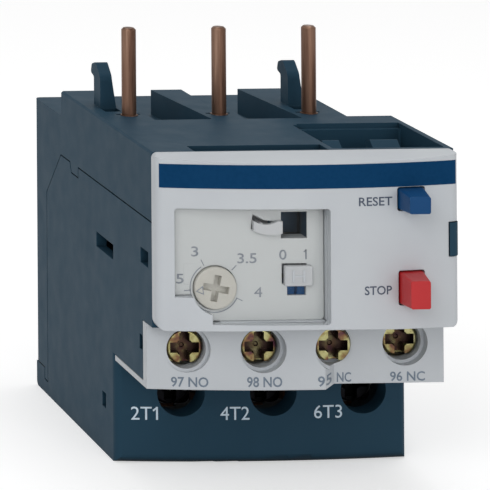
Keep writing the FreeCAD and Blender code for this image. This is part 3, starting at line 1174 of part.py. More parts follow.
def setting_dial():
    """Dial head with its cross recess, shaft and eccentric cam."""
    head = rod_y(DIAL_X, DIAL_Z, DIAL_RADIUS, FLOOR_Y - DIAL_PROUD, PAD_BACK_Y - FIT_GAP)
    rim = [e for e in head.Edges if e.CenterOfMass.y < FLOOR_Y - DIAL_PROUD + 0.01]
    head = head.makeFillet(0.25, rim)
    half = DIAL_CROSS_LENGTH / 2
    wide = DIAL_CROSS_WIDTH / 2
    front = FLOOR_Y - DIAL_PROUD
    cross = join(
        block(-half, half, front - 1, front + DIAL_CROSS_DEPTH, -wide, wide),
        block(-wide, wide, front - 1, front + DIAL_CROSS_DEPTH, -half, half))
    cross.rotate(V(0, 0, 0), V(0, 1, 0), DIAL_CROSS_TURN)
    cross.translate(V(DIAL_X, 0, DIAL_Z))
    shaft = rod_y(DIAL_X, DIAL_Z, DIAL_SHAFT_RADIUS, PAD_BACK_Y - 1, CAM_FRONT_Y + 1)
    cam = rod_y(DIAL_X - CAM_THROW, DIAL_Z, CAM_RADIUS, CAM_FRONT_Y,
                CAM_FRONT_Y + CAM_THICKNESS)
    return join(head.cut(cross), shaft, cam)


def adjusting_lever():
    """Lever that follows the cam and carries the compensating strip."""
    x = DIAL_X + LEVER_PIN_REACH
    z = LEVER_PIN_Z
    y = CAM_FRONT_Y
    hub = rod_y(x, z, LEVER_PIN_RADIUS + LEVER_HUB_WALL, y, y + LEVER_THICKNESS)
    half = LEVER_ARM / 2
    foot_x = DIAL_X + CAM_RADIUS + CAM_THROW + 0.15
    arm = prism("y", [
        (foot_x, DIAL_Z - LEVER_FOOT_DROP, 0.4), (foot_x + LEVER_ARM, DIAL_Z - LEVER_FOOT_DROP, 0.4),
        (x + half, z), (x - half, z)], y, y + LEVER_THICKNESS)
    post = block(x - half, x + half, y, y + LEVER_THICKNESS, z,
                 SLIDER_Z + COMPENSATOR_HEIGHT)
    bore = rod_y(x, z, LEVER_PIN_RADIUS + 0.06, y - 1, y + LEVER_THICKNESS + 1)
    return join(hub, arm, post).cut(bore)


def lever_pivot_pin():
    """Steel pin through the lever's hub, in the boss of the contact block."""
    return rod_y(DIAL_X + LEVER_PIN_REACH, LEVER_PIN_Z, LEVER_PIN_RADIUS,
                 0.0, CAM_FRONT_Y + LEVER_THICKNESS - FIT_GAP)


def compensating_bimetal():
    """Strip from the lever back to the trip slider's finger."""
    x = DIAL_X + LEVER_PIN_REACH
    y = CAM_FRONT_Y + LEVER_THICKNESS
    return block(x - COMPENSATOR_THICKNESS / 2, x + COMPENSATOR_THICKNESS / 2, y,
                 COMPENSATOR_END_Y, SLIDER_Z, SLIDER_Z + COMPENSATOR_HEIGHT)


# ---------------------------------------------------------------- controls in the window
def test_lever():
    """White curved lever on the face plate, with a stem through its slot."""
    left = LEFT + TEST_APERTURE_X - TEST_LEVER_WIDTH
    right = left + TEST_LEVER_WIDTH - 0.05
    low = TEST_LEVER_LOW_Z
    high = low + TEST_LEVER_HEIGHT
    back = FLOOR_Y - FLOAT_GAP
    put = place_in_plane("y", back - TEST_LEVER_PROUD)
    edges = [
        Part.LineSegment(put(left, high), put(left, low + 0.5)).toShape(),
        Part.Arc(put(left, low + 0.5), put((left + right) / 2 - 0.4, low - 0.05),
                 put(right, low + 0.1)).toShape(),
        Part.LineSegment(put(right, low + 0.1), put(right, high - 0.1)).toShape(),
        Part.LineSegment(put(right, high - 0.1), put(right - 0.7, high - 0.1)).toShape(),
        Part.Arc(put(right - 0.7, high - 0.1), put((left + right) / 2, high - 0.55),
                 put(left, high)).toShape(),
    ]
    bar = Part.Face(Part.Wire(edges)).extrude(V(0, TEST_LEVER_PROUD, 0))
    stem = block(left + 0.1, left + 1.5, back - 0.3, BACKPLATE_Y + 2.0, low + 0.8, low + 1.6)
    tail = block(left + 0.1, left + 3.4, BACKPLATE_Y + 0.5, BACKPLATE_Y + 2.0,
                 low - 0.2, low + 2.4)
    return join(bar, stem, tail)


def trip_indicator():
    """White tile that slides over the face plate, on a stem through its slot."""
    left = LEFT + TRIP_FLAG_X
    right = left + TRIP_FLAG_WIDTH
    low = TRIP_FLAG_LOW_Z
    high = low + TRIP_FLAG_HEIGHT
    back = FLOOR_Y - FLOAT_GAP
    tile = prism("y", rounded_rectangle(left, right, low, high, 0.25),
                 back - TRIP_FLAG_PROUD, back)
    rim = [e for e in tile.Edges if e.CenterOfMass.y < back - TRIP_FLAG_PROUD + 0.01]
    tile = tile.makeChamfer(0.12, rim)
    stem = block(left + 1.2, right - 0.9, back - 0.2, BACKPLATE_Y + 1.6,
                 low + 0.9, high - 0.3)
    foot = block(left + 0.2, right + 0.2, BACKPLATE_Y + 0.4, BACKPLATE_Y + 1.6,
                 low + 1.0, high + 1.2)
    return join(tile, stem, foot)


def reset_mode_selector():
    """Blue slide behind the face plate, seen through the opening under the tile."""
    x = LEFT + SELECTOR_X
    plate = block(x - 1.4, x + SELECTOR_WIDTH + 1.4, FLOOR_Y + 0.6, BACKPLATE_Y + 0.8,
                  SELECTOR_LOW_Z - 0.4, SELECTOR_LOW_Z + 1.7)
    middle = x + SELECTOR_WIDTH / 2
    slot = block(middle - 0.25, middle + 0.25, FLOOR_Y, FLOOR_Y + 1.1, SELECTOR_LOW_Z,
                 SELECTOR_LOW_Z + 1.7)
    return plate.cut(slot)


# ---------------------------------------------------------------- push buttons
def push_button(z, width, height, tail_end):
    """Tapered cap, guided shank, retaining flange and spring tail."""
    left = BUTTON_X - width / 2
    right = BUTTON_X + width / 2
    low = z - height / 2
    high = z + height / 2
    face = cover_face_y(BUTTON_X)
    shank = block(left, right, face, BACKPLATE_Y + 0.6, low, high)
    shank = shank.makeFillet(0.3, [e for e in shank.Edges if abs(e.BoundBox.YLength) > 1])
    base = outline([(left, low, 0.3), (right, low, 0.3), (right, high, 0.3), (left, high, 0.3)],
                   place_in_plane("y", face))
    tip = outline([(left + BUTTON_TAPER_LEFT, low + BUTTON_TAPER_LOW, 0.3),
                   (right - BUTTON_TAPER_RIGHT, low + BUTTON_TAPER_LOW, 0.3),
                   (right - BUTTON_TAPER_RIGHT, high - BUTTON_TAPER_TOP, 0.3),
                   (left + BUTTON_TAPER_LEFT, high - BUTTON_TAPER_TOP, 0.3)],
                  place_in_plane("y", -BUTTON_REACH))
    cap = Part.makeLoft([base, tip], True, True)
    flange_y = BACKPLATE_Y + 0.3
    flange = block(left - BUTTON_FLANGE, right + BUTTON_FLANGE, flange_y,
                   flange_y + BUTTON_FLANGE_THICKNESS, low, high)
    tail = rod_y(BUTTON_X, z, BUTTON_TAIL_RADIUS, flange_y, tail_end)
    return join(shank, cap, flange, tail)


def reset_button():
    """Blue reset button."""
    return push_button(RESET_Z, RESET_WIDTH, RESET_HEIGHT, RESET_TAIL_END_Y)


def stop_button():
    """Red stop button, whose tail reaches the normally closed blade."""
    blade_front = moving_tip_y(2) + TIP_THICKNESS
    return push_button(STOP_Z, STOP_WIDTH, STOP_HEIGHT,
                       blade_front - BUTTON_TRAVEL - STOP_TAIL_GAP)


def button_spring(z):
    """Return spring between a button's flange and the bracket."""
    return helix_spring(BUTTON_X, z, BACKPLATE_Y + 0.3 + BUTTON_FLANGE_THICKNESS + 0.1,
                        BRACKET_Y - 0.1)


# ---------------------------------------------------------------- export
def export(name, shape):
    """Write one node in the part's own frame, moved so its footprint is centred."""
    placed = shape.copy()
    placed.translate(V(0, SEAM_SHIFT, 0))
    placed.exportStep("parts/" + name + ".step")
    box = placed.BoundBox
    solids = len(placed.Solids)
    print(f"{name}: {solids} solid(s), valid {placed.isValid()}, volume {placed.Volume:.1f}, "
          f"x {box.XMin:.2f}..{box.XMax:.2f} y {box.YMin:.2f}..{box.YMax:.2f} "
          f"z {box.ZMin:.2f}..{box.ZMax:.2f}")


def main():
    """Build every node."""
    os.makedirs("parts", exist_ok=True)
    export("rear_housing", rear_housing())
    export("front_housing", front_housing())
    export("front_cover", front_cover())
    export("contact_block", contact_block())
    export("window_flap", window_flap())
    for pole in range(POLE_COUNT):
        number = str(pole + 1)
        export("input_pin_" + number, input_pin(pole))
        export("bimetal_strip_" + number, bimetal_strip(pole))
        export("heater_winding_" + number, heater_winding(pole))
        export("output_terminal_" + number, output_terminal(pole))
    export("power_terminal_screws", power_terminal_screws())
    export("power_clamps", power_clamps())
    export("aux_terminal_screws", aux_terminal_screws())
    export("aux_clamp_washers", aux_clamp_washers())
    for place, label in enumerate(("97", "98", "95", "96")):
        export("contact_strip_" + label, contact_strip(place))
    export("fixed_contact_tips", fixed_contact_tips())
    export("no_moving_contact", moving_blade(0))
    export("nc_moving_contact", moving_blade(2))
    export("moving_contact_tips", moving_contact_tips())
    export("contact_rocker", contact_rocker())
    export("rocker_pivot_pin", rocker_pivot_pin())
    export("trip_slider", trip_slider())
    export("differential_slider", differential_slider())
    export("setting_dial", setting_dial())
    export("adjusting_lever", adjusting_lever())
    export("lever_pivot_pin", lever_pivot_pin())
    export("compensating_bimetal", compensating_bimetal())
    export("test_lever", test_lever())
    export("trip_indicator", trip_indicator())
    export("reset_mode_selector", reset_mode_selector())
    export("reset_button", reset_button())
    export("reset_spring", button_spring(RESET_Z))
    export("stop_button", stop_button())
    export("stop_spring", button_spring(STOP_Z))


main()
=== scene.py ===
# %% [markdown]
# # A thermal overload relay, dressed for the camera
# The relay's solids come from CAD at their true size. This lesson gives every solid its
# finish, and adds what is too thin for CAD: the printed band, the words and the dial's marks.

# %% Open the frame
import json
import math

import bpy
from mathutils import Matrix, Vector

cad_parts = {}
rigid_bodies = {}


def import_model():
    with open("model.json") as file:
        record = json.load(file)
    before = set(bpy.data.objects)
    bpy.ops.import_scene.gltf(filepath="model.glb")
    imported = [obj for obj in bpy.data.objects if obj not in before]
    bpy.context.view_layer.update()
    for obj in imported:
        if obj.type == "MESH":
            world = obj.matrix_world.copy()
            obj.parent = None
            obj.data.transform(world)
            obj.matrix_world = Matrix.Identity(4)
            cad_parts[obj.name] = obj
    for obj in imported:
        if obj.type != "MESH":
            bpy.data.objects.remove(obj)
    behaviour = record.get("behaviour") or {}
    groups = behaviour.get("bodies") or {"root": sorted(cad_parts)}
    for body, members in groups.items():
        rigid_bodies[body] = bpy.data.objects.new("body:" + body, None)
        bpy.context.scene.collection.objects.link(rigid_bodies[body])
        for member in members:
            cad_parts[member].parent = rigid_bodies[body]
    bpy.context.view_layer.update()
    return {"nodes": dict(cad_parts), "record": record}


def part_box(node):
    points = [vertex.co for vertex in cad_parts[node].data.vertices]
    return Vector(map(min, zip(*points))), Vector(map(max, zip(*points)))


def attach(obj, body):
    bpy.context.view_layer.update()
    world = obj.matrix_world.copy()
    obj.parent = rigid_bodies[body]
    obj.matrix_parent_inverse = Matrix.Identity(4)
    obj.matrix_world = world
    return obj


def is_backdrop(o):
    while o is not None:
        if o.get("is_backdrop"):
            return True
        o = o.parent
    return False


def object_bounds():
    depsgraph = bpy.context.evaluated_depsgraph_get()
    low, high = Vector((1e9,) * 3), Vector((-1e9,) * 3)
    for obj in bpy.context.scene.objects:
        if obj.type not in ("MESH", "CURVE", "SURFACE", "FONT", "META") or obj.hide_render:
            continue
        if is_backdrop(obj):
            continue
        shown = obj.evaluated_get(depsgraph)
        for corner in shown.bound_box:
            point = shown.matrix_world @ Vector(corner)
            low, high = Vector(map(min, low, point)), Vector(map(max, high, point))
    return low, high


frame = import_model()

MM = 0.001

# %% [markdown]
# ## Where things are
# Depths are read from the solids' boxes or follow from them. Places across the front are in
# millimetres: sideways from the relay's middle, and up from its underside. The white cover is
# bowed like a slice of a large drum, so a point on it needs its depth worked out from its
# distance to the middle. The drum's radius comes from the relay's width and the cover's bow.

# %% Measure the cover
cover_low, cover_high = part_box("front_cover")
seam_y = cover_high[1]
half_width = cover_high[0]
cover_bow = 2.2 * MM
plate_rise = 1.5 * MM
pad_y = seam_y - plate_rise


def bowed(middle, bow, x):
    """Depth at a distance from the middle, on a face whose sides lie back by the bow."""
    radius = (half_width ** 2 + bow ** 2) / (2 * bow)
    return middle + radius - math.sqrt(radius ** 2 - x ** 2)


def cover_face(x):
    """Depth of the bowed cover at a distance from the middle."""
    return bowed(cover_low[1], cover_bow, x)


print("cover depth in mm: middle", round(cover_face(0) / MM, 2), "side",
      round(cover_face(half_width) / MM, 2))

# %% [markdown]
# ## The camera
# The relay is seen from the upper left, but its front stays square to the view: its verticals
# and its front's horizontals hardly converge. That is what a view camera does when its back
# stays parallel to the subject. Blender's camera can do it as well. The camera hangs on an
# empty, and the matrix between them leans the line of sight while the image plane stays
# upright, so no large lens shift is needed.

# %% Place the camera
seam_mm = seam_y / MM
eye = Vector((-177.56, seam_mm - 485.0, 158.60))
aim = Vector((-8.632, seam_mm, 37.622))
view_width = 72.293
sight = (eye - aim).normalized()
roll, turn = math.radians(0.4), math.radians(1.5)
stand = bpy.data.objects.new("camera_stand", None)
camera_data = bpy.data.cameras.new("view")
camera = bpy.data.objects.new("view", camera_data)
for thing in (stand, camera):
    bpy.context.scene.collection.objects.link(thing)
camera.parent = stand
right_way = Vector((math.cos(roll) * math.cos(turn), -math.sin(turn), -math.sin(roll)))
up_way = Vector((math.sin(roll), 0, math.cos(roll)))
lean = camera.matrix_parent_inverse.copy()
for row in range(3):
    lean[row][0] = right_way[row]
    lean[row][1] = up_way[row]
    lean[row][2] = sight[row]
    lean[row][3] = eye[row] * MM
camera.matrix_parent_inverse = lean
camera_data.sensor_width = 36.0
camera_data.lens = camera_data.sensor_width * (eye - aim).length / view_width
camera_data.clip_start = 0.05
camera_data.clip_end = 5.0
bpy.context.scene.camera = camera
print("lens", round(camera_data.lens, 1), "mm, eye", [round(v) for v in eye])

# %% [markdown]
# ## Building blocks for finishes
# A procedural finish is a small network of nodes. It could be wired by hand in the shader
# editor, but with a helper for each kind of node a finish reads as a short list. The first
# three make a material, add a node and link two sockets.


# %% Helpers that add nodes
def start_finish(name, color, roughness, metallic=0.0):
    """New material with its main shader, and the plain numbers set on the shader."""
    finish = bpy.data.materials.new(name)
    finish.use_nodes = True
    shader = finish.node_tree.nodes["Principled BSDF"]
    shader.inputs["Base Color"].default_value = (*color, 1.0)
    shader.inputs["Roughness"].default_value = roughness
    shader.inputs["Metallic"].default_value = metallic
    return finish, shader


def add(finish, kind, **settings):
    """Node of a kind, with its own settings."""
    node = finish.node_tree.nodes.new(kind)
    for key, value in settings.items():
        setattr(node, key, value)
    return node


def join(finish, output, target):
    """Link from one socket to another."""
    finish.node_tree.links.new(output, target)


print("made start_finish, add and join")

# %% [markdown]
# ## Patterns and tones
# All patterns run on Object coordinates: the solids sit at the origin, so a pattern stays
# fixed to the part from any side. The numbers of a pattern are moved to another range, turned
# into colours, or used to mix two colours.


# %% Helpers for patterns and tones
def grain(finish, scale, detail=3.0, stretch=(1, 1, 1)):
    """Noise on Object coordinates; stretch squeezes it along an axis."""
    place = add(finish, "ShaderNodeTexCoord")
    turn = add(finish, "ShaderNodeMapping")
    turn.inputs["Scale"].default_value = stretch
    noise = add(finish, "ShaderNodeTexNoise")
    noise.inputs["Scale"].default_value = scale
    noise.inputs["Detail"].default_value = detail
    join(finish, place.outputs["Object"], turn.inputs["Vector"])
    join(finish, turn.outputs["Vector"], noise.inputs["Vector"])
    return noise.outputs[0]


def spread(finish, value, low, high, to_low, to_high):
    """Value moved from one range to another."""
    node = add(finish, "ShaderNodeMapRange")
    for key, number in (("From Min", low), ("From Max", high), ("To Min", to_low),
                        ("To Max", to_high)):
        node.inputs[key].default_value = number
    join(finish, value, node.inputs["Value"])
    return node.outputs["Result"]


def tones(finish, value, stops):
    """Colours along a value: a list of (place, colour)."""
    node = add(finish, "ShaderNodeValToRGB")
    band = node.color_ramp
    while len(band.elements) < len(stops):
        band.elements.new(0.5)
    for element, (place, color) in zip(band.elements, stops):
        element.position = place
        element.color = (*color, 1.0)
    join(finish, value, node.inputs["Fac"])
    return node.outputs["Color"]


def blend(finish, amount, first, second):
    """Two colours mixed by an amount; a colour may be a socket or plain numbers."""
    node = add(finish, "ShaderNodeMix", data_type="RGBA")
    for source, target in ((amount, node.inputs[0]), (first, node.inputs[6]),
                           (second, node.inputs[7])):
        if isinstance(source, bpy.types.NodeSocket):
            join(finish, source, target)
        else:
            target.default_value = (*source, 1.0)
    return node.outputs[2]


def largest(finish, values):
    """Greatest of several numbers."""
    top = values[0]
    for value in values[1:]:
        node = add(finish, "ShaderNodeMath", operation="MAXIMUM")
        join(finish, top, node.inputs[0])
        join(finish, value, node.inputs[1])
        top = node.outputs[0]
    return top


print("made grain, spread, tones, blend and largest")

# %% [markdown]
# ## Edges, recesses and relief
# Rubbed edges tell a real part from a plain one; here their paler colour is partly wear and
# partly painted highlight, and recesses get painted shade. The Bevel node rounds the normal near
# an edge, and where the rounded normal leaves the true one, an edge is near. Ambient Occlusion
# finds the places that little light reaches, where the shade is painted. Bump turns a noise into
# a fine relief.


# %% Helpers for edges, recesses and relief
def softened(finish, radius):
    """Normal of the surface, rounded near its edges."""
    soft = add(finish, "ShaderNodeBevel", samples=4)
    soft.inputs["Radius"].default_value = radius
    return soft.outputs["Normal"]


def edge_mask(finish, soft_normal):
    """Near 1 along sharp edges and 0 on flat faces."""
    face = add(finish, "ShaderNodeNewGeometry")
    match = add(finish, "ShaderNodeVectorMath", operation="DOT_PRODUCT")
    join(finish, soft_normal, match.inputs[0])
    join(finish, face.outputs["Normal"], match.inputs[1])
    return spread(finish, match.outputs["Value"], 0.98, 0.8, 0.0, 1.0)


def openness(finish, distance, low, high, only_local=False):
    """0 in sheltered places and 1 on open faces; only_local looks at the piece alone."""
    shelter = add(finish, "ShaderNodeAmbientOcclusion", samples=8, only_local=only_local)
    shelter.inputs["Distance"].default_value = distance
    return spread(finish, shelter.outputs["AO"], low, high, 0.0, 1.0)


def relief(finish, shader, height, strength, distance, normal=None):
    """Bump on the shader's normal, on top of a softened normal where one is given."""
    node = add(finish, "ShaderNodeBump")
    node.inputs["Strength"].default_value = strength
    node.inputs["Distance"].default_value = distance
    join(finish, height, node.inputs["Height"])
    if normal is not None:
        join(finish, normal, node.inputs["Normal"])
    join(finish, node.outputs["Normal"], shader.inputs["Normal"])


print("made softened, edge_mask, openness and relief")

# %% [markdown]
# ## Moulded plastic
# All the mouldings share one recipe. Real moulded parts aren't one flat colour: the tone
# drifts a little, tiny pits catch the light, and corners are paler, partly from wear and partly
# as painted highlight. The tone comes from a broad noise, the pits from a fine one, and the
# paler corners from the edge mask. The dark housing also gets painted shade in its recesses.


# %% Recipe for moulded plastic
def moulded(name, dark, light, edge_wear_and_highlight, roughness, pit=0.02 * MM, edge=0.12 * MM, gloss=0.5,
            sheltered=1.0):
    """Plastic with drifting tone, fine pits, corners paler by wear and painted highlight; sheltered
    below 1 paints recess shade.
    """
    finish, shader = start_finish(name, light, roughness)
    shader.inputs["IOR"].default_value = 1.47
    shader.inputs["Specular IOR Level"].default_value = gloss
    tone = tones(finish, grain(finish, 95.0, 4.0), [(0.32, dark), (0.68, light)])
    soft_normal = softened(finish, edge)
    edge_variation = grain(finish, 900.0, 5.0)
    # Paler edges: partly wear, partly painted highlight along every edge.
    edge_lightening = add(finish, "ShaderNodeMath", operation="MULTIPLY")
    join(finish, edge_mask(finish, soft_normal), edge_lightening.inputs[0])
    join(finish, spread(finish, edge_variation, 0.42, 0.62, 0.1, 0.75), edge_lightening.inputs[1])
    surface = blend(finish, edge_lightening.outputs[0], tone, edge_wear_and_highlight)
    # Painted shade: recesses turn towards a darker copy of the moulding's colour.
    if sheltered < 1.0:
        painted_recess_shade = tuple(sheltered * channel for channel in dark)
        surface = blend(finish, openness(finish, 5 * MM, 0.1, 0.6), painted_recess_shade, surface)
    join(finish, surface, shader.inputs["Base Color"])
    uneven = grain(finish, 320.0, 5.0)
    join(finish, spread(finish, uneven, 0.3, 0.7, roughness - 0.04, roughness + 0.04),
         shader.inputs["Roughness"])
    pits = grain(finish, 5200.0, 2.0)
    relief(finish, shader, pits, 0.35, pit, soft_normal)
    return finish


dark_housing = moulded("dark_housing_finish", (0.0158, 0.0465, 0.075), (0.0168, 0.0488, 0.0785),
                       (0.05, 0.10, 0.14), 0.55, gloss=0.1, sheltered=0.25)
white_moulding = moulded("white_moulding_finish", (0.475, 0.50, 0.53), (0.507, 0.535, 0.56),
                         (0.60, 0.62, 0.64), 0.42, pit=0.012 * MM)
window_white = moulded("window_white_finish", (0.455, 0.47, 0.485), (0.485, 0.50, 0.51),
                       (0.60, 0.61, 0.62), 0.42, pit=0.012 * MM)
beige_dial = moulded("beige_dial_finish", (0.46, 0.45, 0.405), (0.51, 0.50, 0.455),
                     (0.60, 0.585, 0.54), 0.40, pit=0.01 * MM, edge=0.1 * MM)
blue_button = moulded("blue_button_finish", (0.005, 0.053, 0.157), (0.007, 0.062, 0.175),
                      (0.06, 0.16, 0.33), 0.40, pit=0.008 * MM, gloss=0.15)
red_button = moulded("red_button_finish", (0.43, 0.015, 0.018), (0.49, 0.021, 0.024),
                     (0.62, 0.10, 0.09), 0.36, pit=0.008 * MM, gloss=0.35)
well_dark = moulded("test_well_finish", (0.004, 0.028, 0.058), (0.006, 0.034, 0.070),
                    (0.02, 0.07, 0.11), 0.45, gloss=0.3)
slider_moulding = moulded("slider_moulding_finish", (0.40, 0.33, 0.22), (0.48, 0.40, 0.28),
                          (0.56, 0.50, 0.38), 0.5)
print("plastics:", [m.name for m in bpy.data.materials if m.name.endswith("_finish")])

# %% [markdown]
# ## The contact block's tones
# The contact block is one white moulding, but its upper face lies behind the clear flap and
# looks warmer than the terminal face below. One finish can do both: a mix along the height
# crosses from the cool tone to the warm one just above the terminals. The square well beside
# the test lever gets painted shade: a box on Object coordinates turns its white walls dark
# blue. A point lies in the box when its distance to the box's middle, counted in half sides,
# stays below 1 along all three axes.

# %% Finish of the contact block
contact_white = moulded("contact_white_finish", (0.445, 0.47, 0.497), (0.48, 0.505, 0.53),
                        (0.58, 0.60, 0.62), 0.42, pit=0.012 * MM)
warm_tone = (0.505, 0.525, 0.52)
# Painted shade: dark blue for the white walls of the well beside the test lever.
well_painted_shade = (0.004, 0.030, 0.060)
cool_below, warm_above = 25.8 * MM, 26.2 * MM
well_middle = (-1.95 * MM, pad_y + 5.2 * MM, 41.3 * MM)
well_half_sides = (2.4 * MM, 5.0 * MM, 2.4 * MM)
shader = contact_white.node_tree.nodes["Principled BSDF"]
cool_tone = shader.inputs["Base Color"].links[0].from_socket
spot = add(contact_white, "ShaderNodeTexCoord").outputs["Object"]
parts = add(contact_white, "ShaderNodeSeparateXYZ")
join(contact_white, spot, parts.inputs["Vector"])
height = spread(contact_white, parts.outputs["Z"], cool_below, warm_above, 0.0, 0.85)
white_tone = blend(contact_white, height, cool_tone, warm_tone)
for kind, numbers in (("SUBTRACT", well_middle), ("DIVIDE", well_half_sides),
                      ("ABSOLUTE", (0, 0, 0))):
    step = add(contact_white, "ShaderNodeVectorMath", operation=kind)
    step.inputs[1].default_value = numbers
    join(contact_white, spot, step.inputs[0])
    spot = step.outputs["Vector"]
sides = add(contact_white, "ShaderNodeSeparateXYZ")
join(contact_white, spot, sides.inputs["Vector"])
reach = largest(contact_white, [sides.outputs[axis] for axis in "XYZ"])
inside = spread(contact_white, reach, 0.98, 1.0, 1.0, 0.0)
join(contact_white, blend(contact_white, inside, white_tone, well_painted_shade),
     shader.inputs["Base Color"])
print("the tone changes from", round(cool_below / MM, 1), "to", round(warm_above / MM, 1), "mm")

# %% [markdown]
# ## Metals
# The pins are drawn copper that has tarnished: long streaks along the drawing direction, from
# dark brown to bare metal. The terminal screws are zinc with a yellow chromate film, which
# shines olive and shows purple and brown where the film is thick. Both are a noise turned
# into colours, stretched along the pin for the copper. Ambient Occlusion finds the sheltered
# places, such as a screw's slot, and painted shade darkens them.


# %% Recipe for metal
def metal(name, stops, roughness, stretch=(1, 1, 1), scale=260.0, recess_shade_colour=(0.05, 0.04, 0.04)):
    """Metal whose tones follow a noise, with painted shade in recesses, scratched along the
    stretch.
    """
    finish, shader = start_finish(name, stops[-1][1], roughness, 1.0)
    stain = grain(finish, scale, 6.0, stretch)
    # Painted shade: sheltered places turn towards the recess colour.
    unshaded = openness(finish, 2.5 * MM, 0.6, 0.95, only_local=True)
    join(finish, blend(finish, unshaded, recess_shade_colour, tones(finish, stain, stops)),
         shader.inputs["Base Color"])
    join(finish, spread(finish, stain, 0.3, 0.7, roughness + 0.1, roughness - 0.08),
         shader.inputs["Roughness"])
    scratches = grain(finish, 2600.0, 3.0, stretch)
    relief(finish, shader, scratches, 0.4, 0.004 * MM, softened(finish, 0.08 * MM))
    return finish


copper = metal("tarnished_copper", [(0.25, (0.05, 0.025, 0.018)), (0.45, (0.145, 0.08, 0.055)),
                                    (0.62, (0.225, 0.135, 0.095)), (0.8, (0.38, 0.245, 0.18))],
               0.42, stretch=(1, 1, 0.05), scale=1100.0, recess_shade_colour=(0.10, 0.05, 0.03))
yellow_zinc = metal("yellow_chromate", [(0.34, (0.07, 0.025, 0.04)), (0.44, (0.16, 0.09, 0.045)),
                                        (0.53, (0.26, 0.23, 0.10)), (0.62, (0.36, 0.34, 0.16)),
                                        (0.76, (0.46, 0.42, 0.26))], 0.30,
                    scale=520.0, recess_shade_colour=(0.03, 0.018, 0.015))
# Painted shade: the power screws and clamps are near black because their wells lie in shade.
power_screw_shade = metal("power_screw_painted_shade", [(0.3, (0.004, 0.004, 0.005)), (0.7, (0.014, 0.014, 0.016))],
                    0.45, recess_shade_colour=(0.002, 0.002, 0.002))
brass_strip = metal("rolled_brass", [(0.3, (0.50, 0.36, 0.14)), (0.7, (0.66, 0.50, 0.22))],
                    0.35, stretch=(1, 1, 0.1), scale=600.0)
silver_tip = metal("contact_silver", [(0.3, (0.55, 0.55, 0.54)), (0.7, (0.74, 0.74, 0.73))], 0.3)
steel = metal("drawn_steel", [(0.3, (0.34, 0.35, 0.37)), (0.7, (0.50, 0.51, 0.53))], 0.35)
bimetal = metal("rolled_bimetal", [(0.3, (0.40, 0.37, 0.32)), (0.7, (0.54, 0.51, 0.46))], 0.35)
heater_ribbon = metal("heater_alloy", [(0.3, (0.20, 0.19, 0.18)), (0.7, (0.34, 0.32, 0.30))],
                      0.42)
metals = (copper, yellow_zinc, power_screw_shade, brass_strip, silver_tip, steel, bimetal,
          heater_ribbon)
print("metals:", [made.name for made in metals])

# %% [markdown]
# ## The clear flap
# A thin clear sheet hardly tints what lies behind it, and shows itself only by its edges and
# by glancing reflections. A low alpha lets the window through, and Layer Weight raises it
# where the sheet is seen edge on.

# %% Clear moulding
clear_flap, shader = start_finish("clear_flap_finish", (0.74, 0.76, 0.77), 0.08)
shader.inputs["IOR"].default_value = 1.5
face_on, edge_on = 0.01, 0.55
facing = add(clear_flap, "ShaderNodeLayerWeight")
facing.inputs["Blend"].default_value = 0.35
join(clear_flap, spread(clear_flap, facing.outputs["Facing"], 0.45, 1.0, face_on, edge_on),
     shader.inputs["Alpha"])
relief(clear_flap, shader, grain(clear_flap, 180.0, 2.0), 0.15, 0.02 * MM)
print("flap's alpha face on", face_on, "and edge on", edge_on)

# %% [markdown]
# ## Dress the solids
# The record says which slot each solid uses, so one table turns slots into finishes. A second
# table names the solids that differ from their slot: the power screws and their clamps sit
# deep in dark wells and are painted near black as shade, and what lies behind the flap has its
# own whites.

# %% Give every solid its finish
finish_of_slot = {
    "dark_housing": dark_housing, "white_moulding": white_moulding, "beige_dial": beige_dial,
    "clear_flap": clear_flap, "blue_button": blue_button, "red_button": red_button,
    "copper": copper, "yellow_passivated": yellow_zinc, "brass_strip": brass_strip,
    "silver_tip": silver_tip, "steel": steel, "bimetal": bimetal,
    "heater_ribbon": heater_ribbon, "slider_moulding": slider_moulding,
}
finish_of_node = {"power_terminal_screws": power_screw_shade, "power_clamps": power_screw_shade,
                  "contact_block": contact_white, "trip_indicator": window_white,
                  "test_lever": window_white}
for part in frame["record"]["subparts"]:
    node = frame["nodes"][part["node"]]
    finish = finish_of_node.get(part["node"], finish_of_slot[part["material_slot"]])
    for entry in node.material_slots:
        entry.material = finish
print(len(frame["nodes"]), "solids dressed")

# %% [markdown]
# ## Inks
# Printed marks are a film of ink a few hundredths of a millimetre thick. The film isn't
# perfectly even, so its tone and its shine vary a little.


# %% Recipe for ink
def ink(name, thin, thick, roughness=0.5):
    """Printed film with uneven cover."""
    finish, shader = start_finish(name, thick, roughness)
    cover = grain(finish, 1500.0, 4.0)
    join(finish, tones(finish, cover, [(0.3, thin), (0.6, thick)]), shader.inputs["Base Color"])
    join(finish, spread(finish, cover, 0.3, 0.7, roughness + 0.08, roughness - 0.06),
         shader.inputs["Roughness"])
    return finish


navy_ink = ink("navy_band_ink", (0.002, 0.036, 0.102), (0.003, 0.040, 0.112), 0.5)
navy_ink.node_tree.nodes["Principled BSDF"].inputs["Specular IOR Level"].default_value = 0.04
black_ink = ink("dark_blue_ink", (0.06, 0.08, 0.12), (0.04, 0.055, 0.09))
grey_ink = ink("grey_blue_ink", (0.16, 0.20, 0.25), (0.11, 0.145, 0.19))
window_ink = ink("window_grey_ink", (0.25, 0.27, 0.30), (0.17, 0.19, 0.225))
pale_ink = ink("pale_blue_ink", (0.50, 0.60, 0.68), (0.58, 0.68, 0.76))
print("inks:", [m.name for m in bpy.data.materials if m.name.endswith("_ink")])

# %% [markdown]
# ## The printed band
# The blue band across the top of the cover follows the bow. A flat grid stands in front of the
# cover; Shrinkwrap pushes it straight back until it meets the cover, and Solidify gives it a
# hair's thickness.


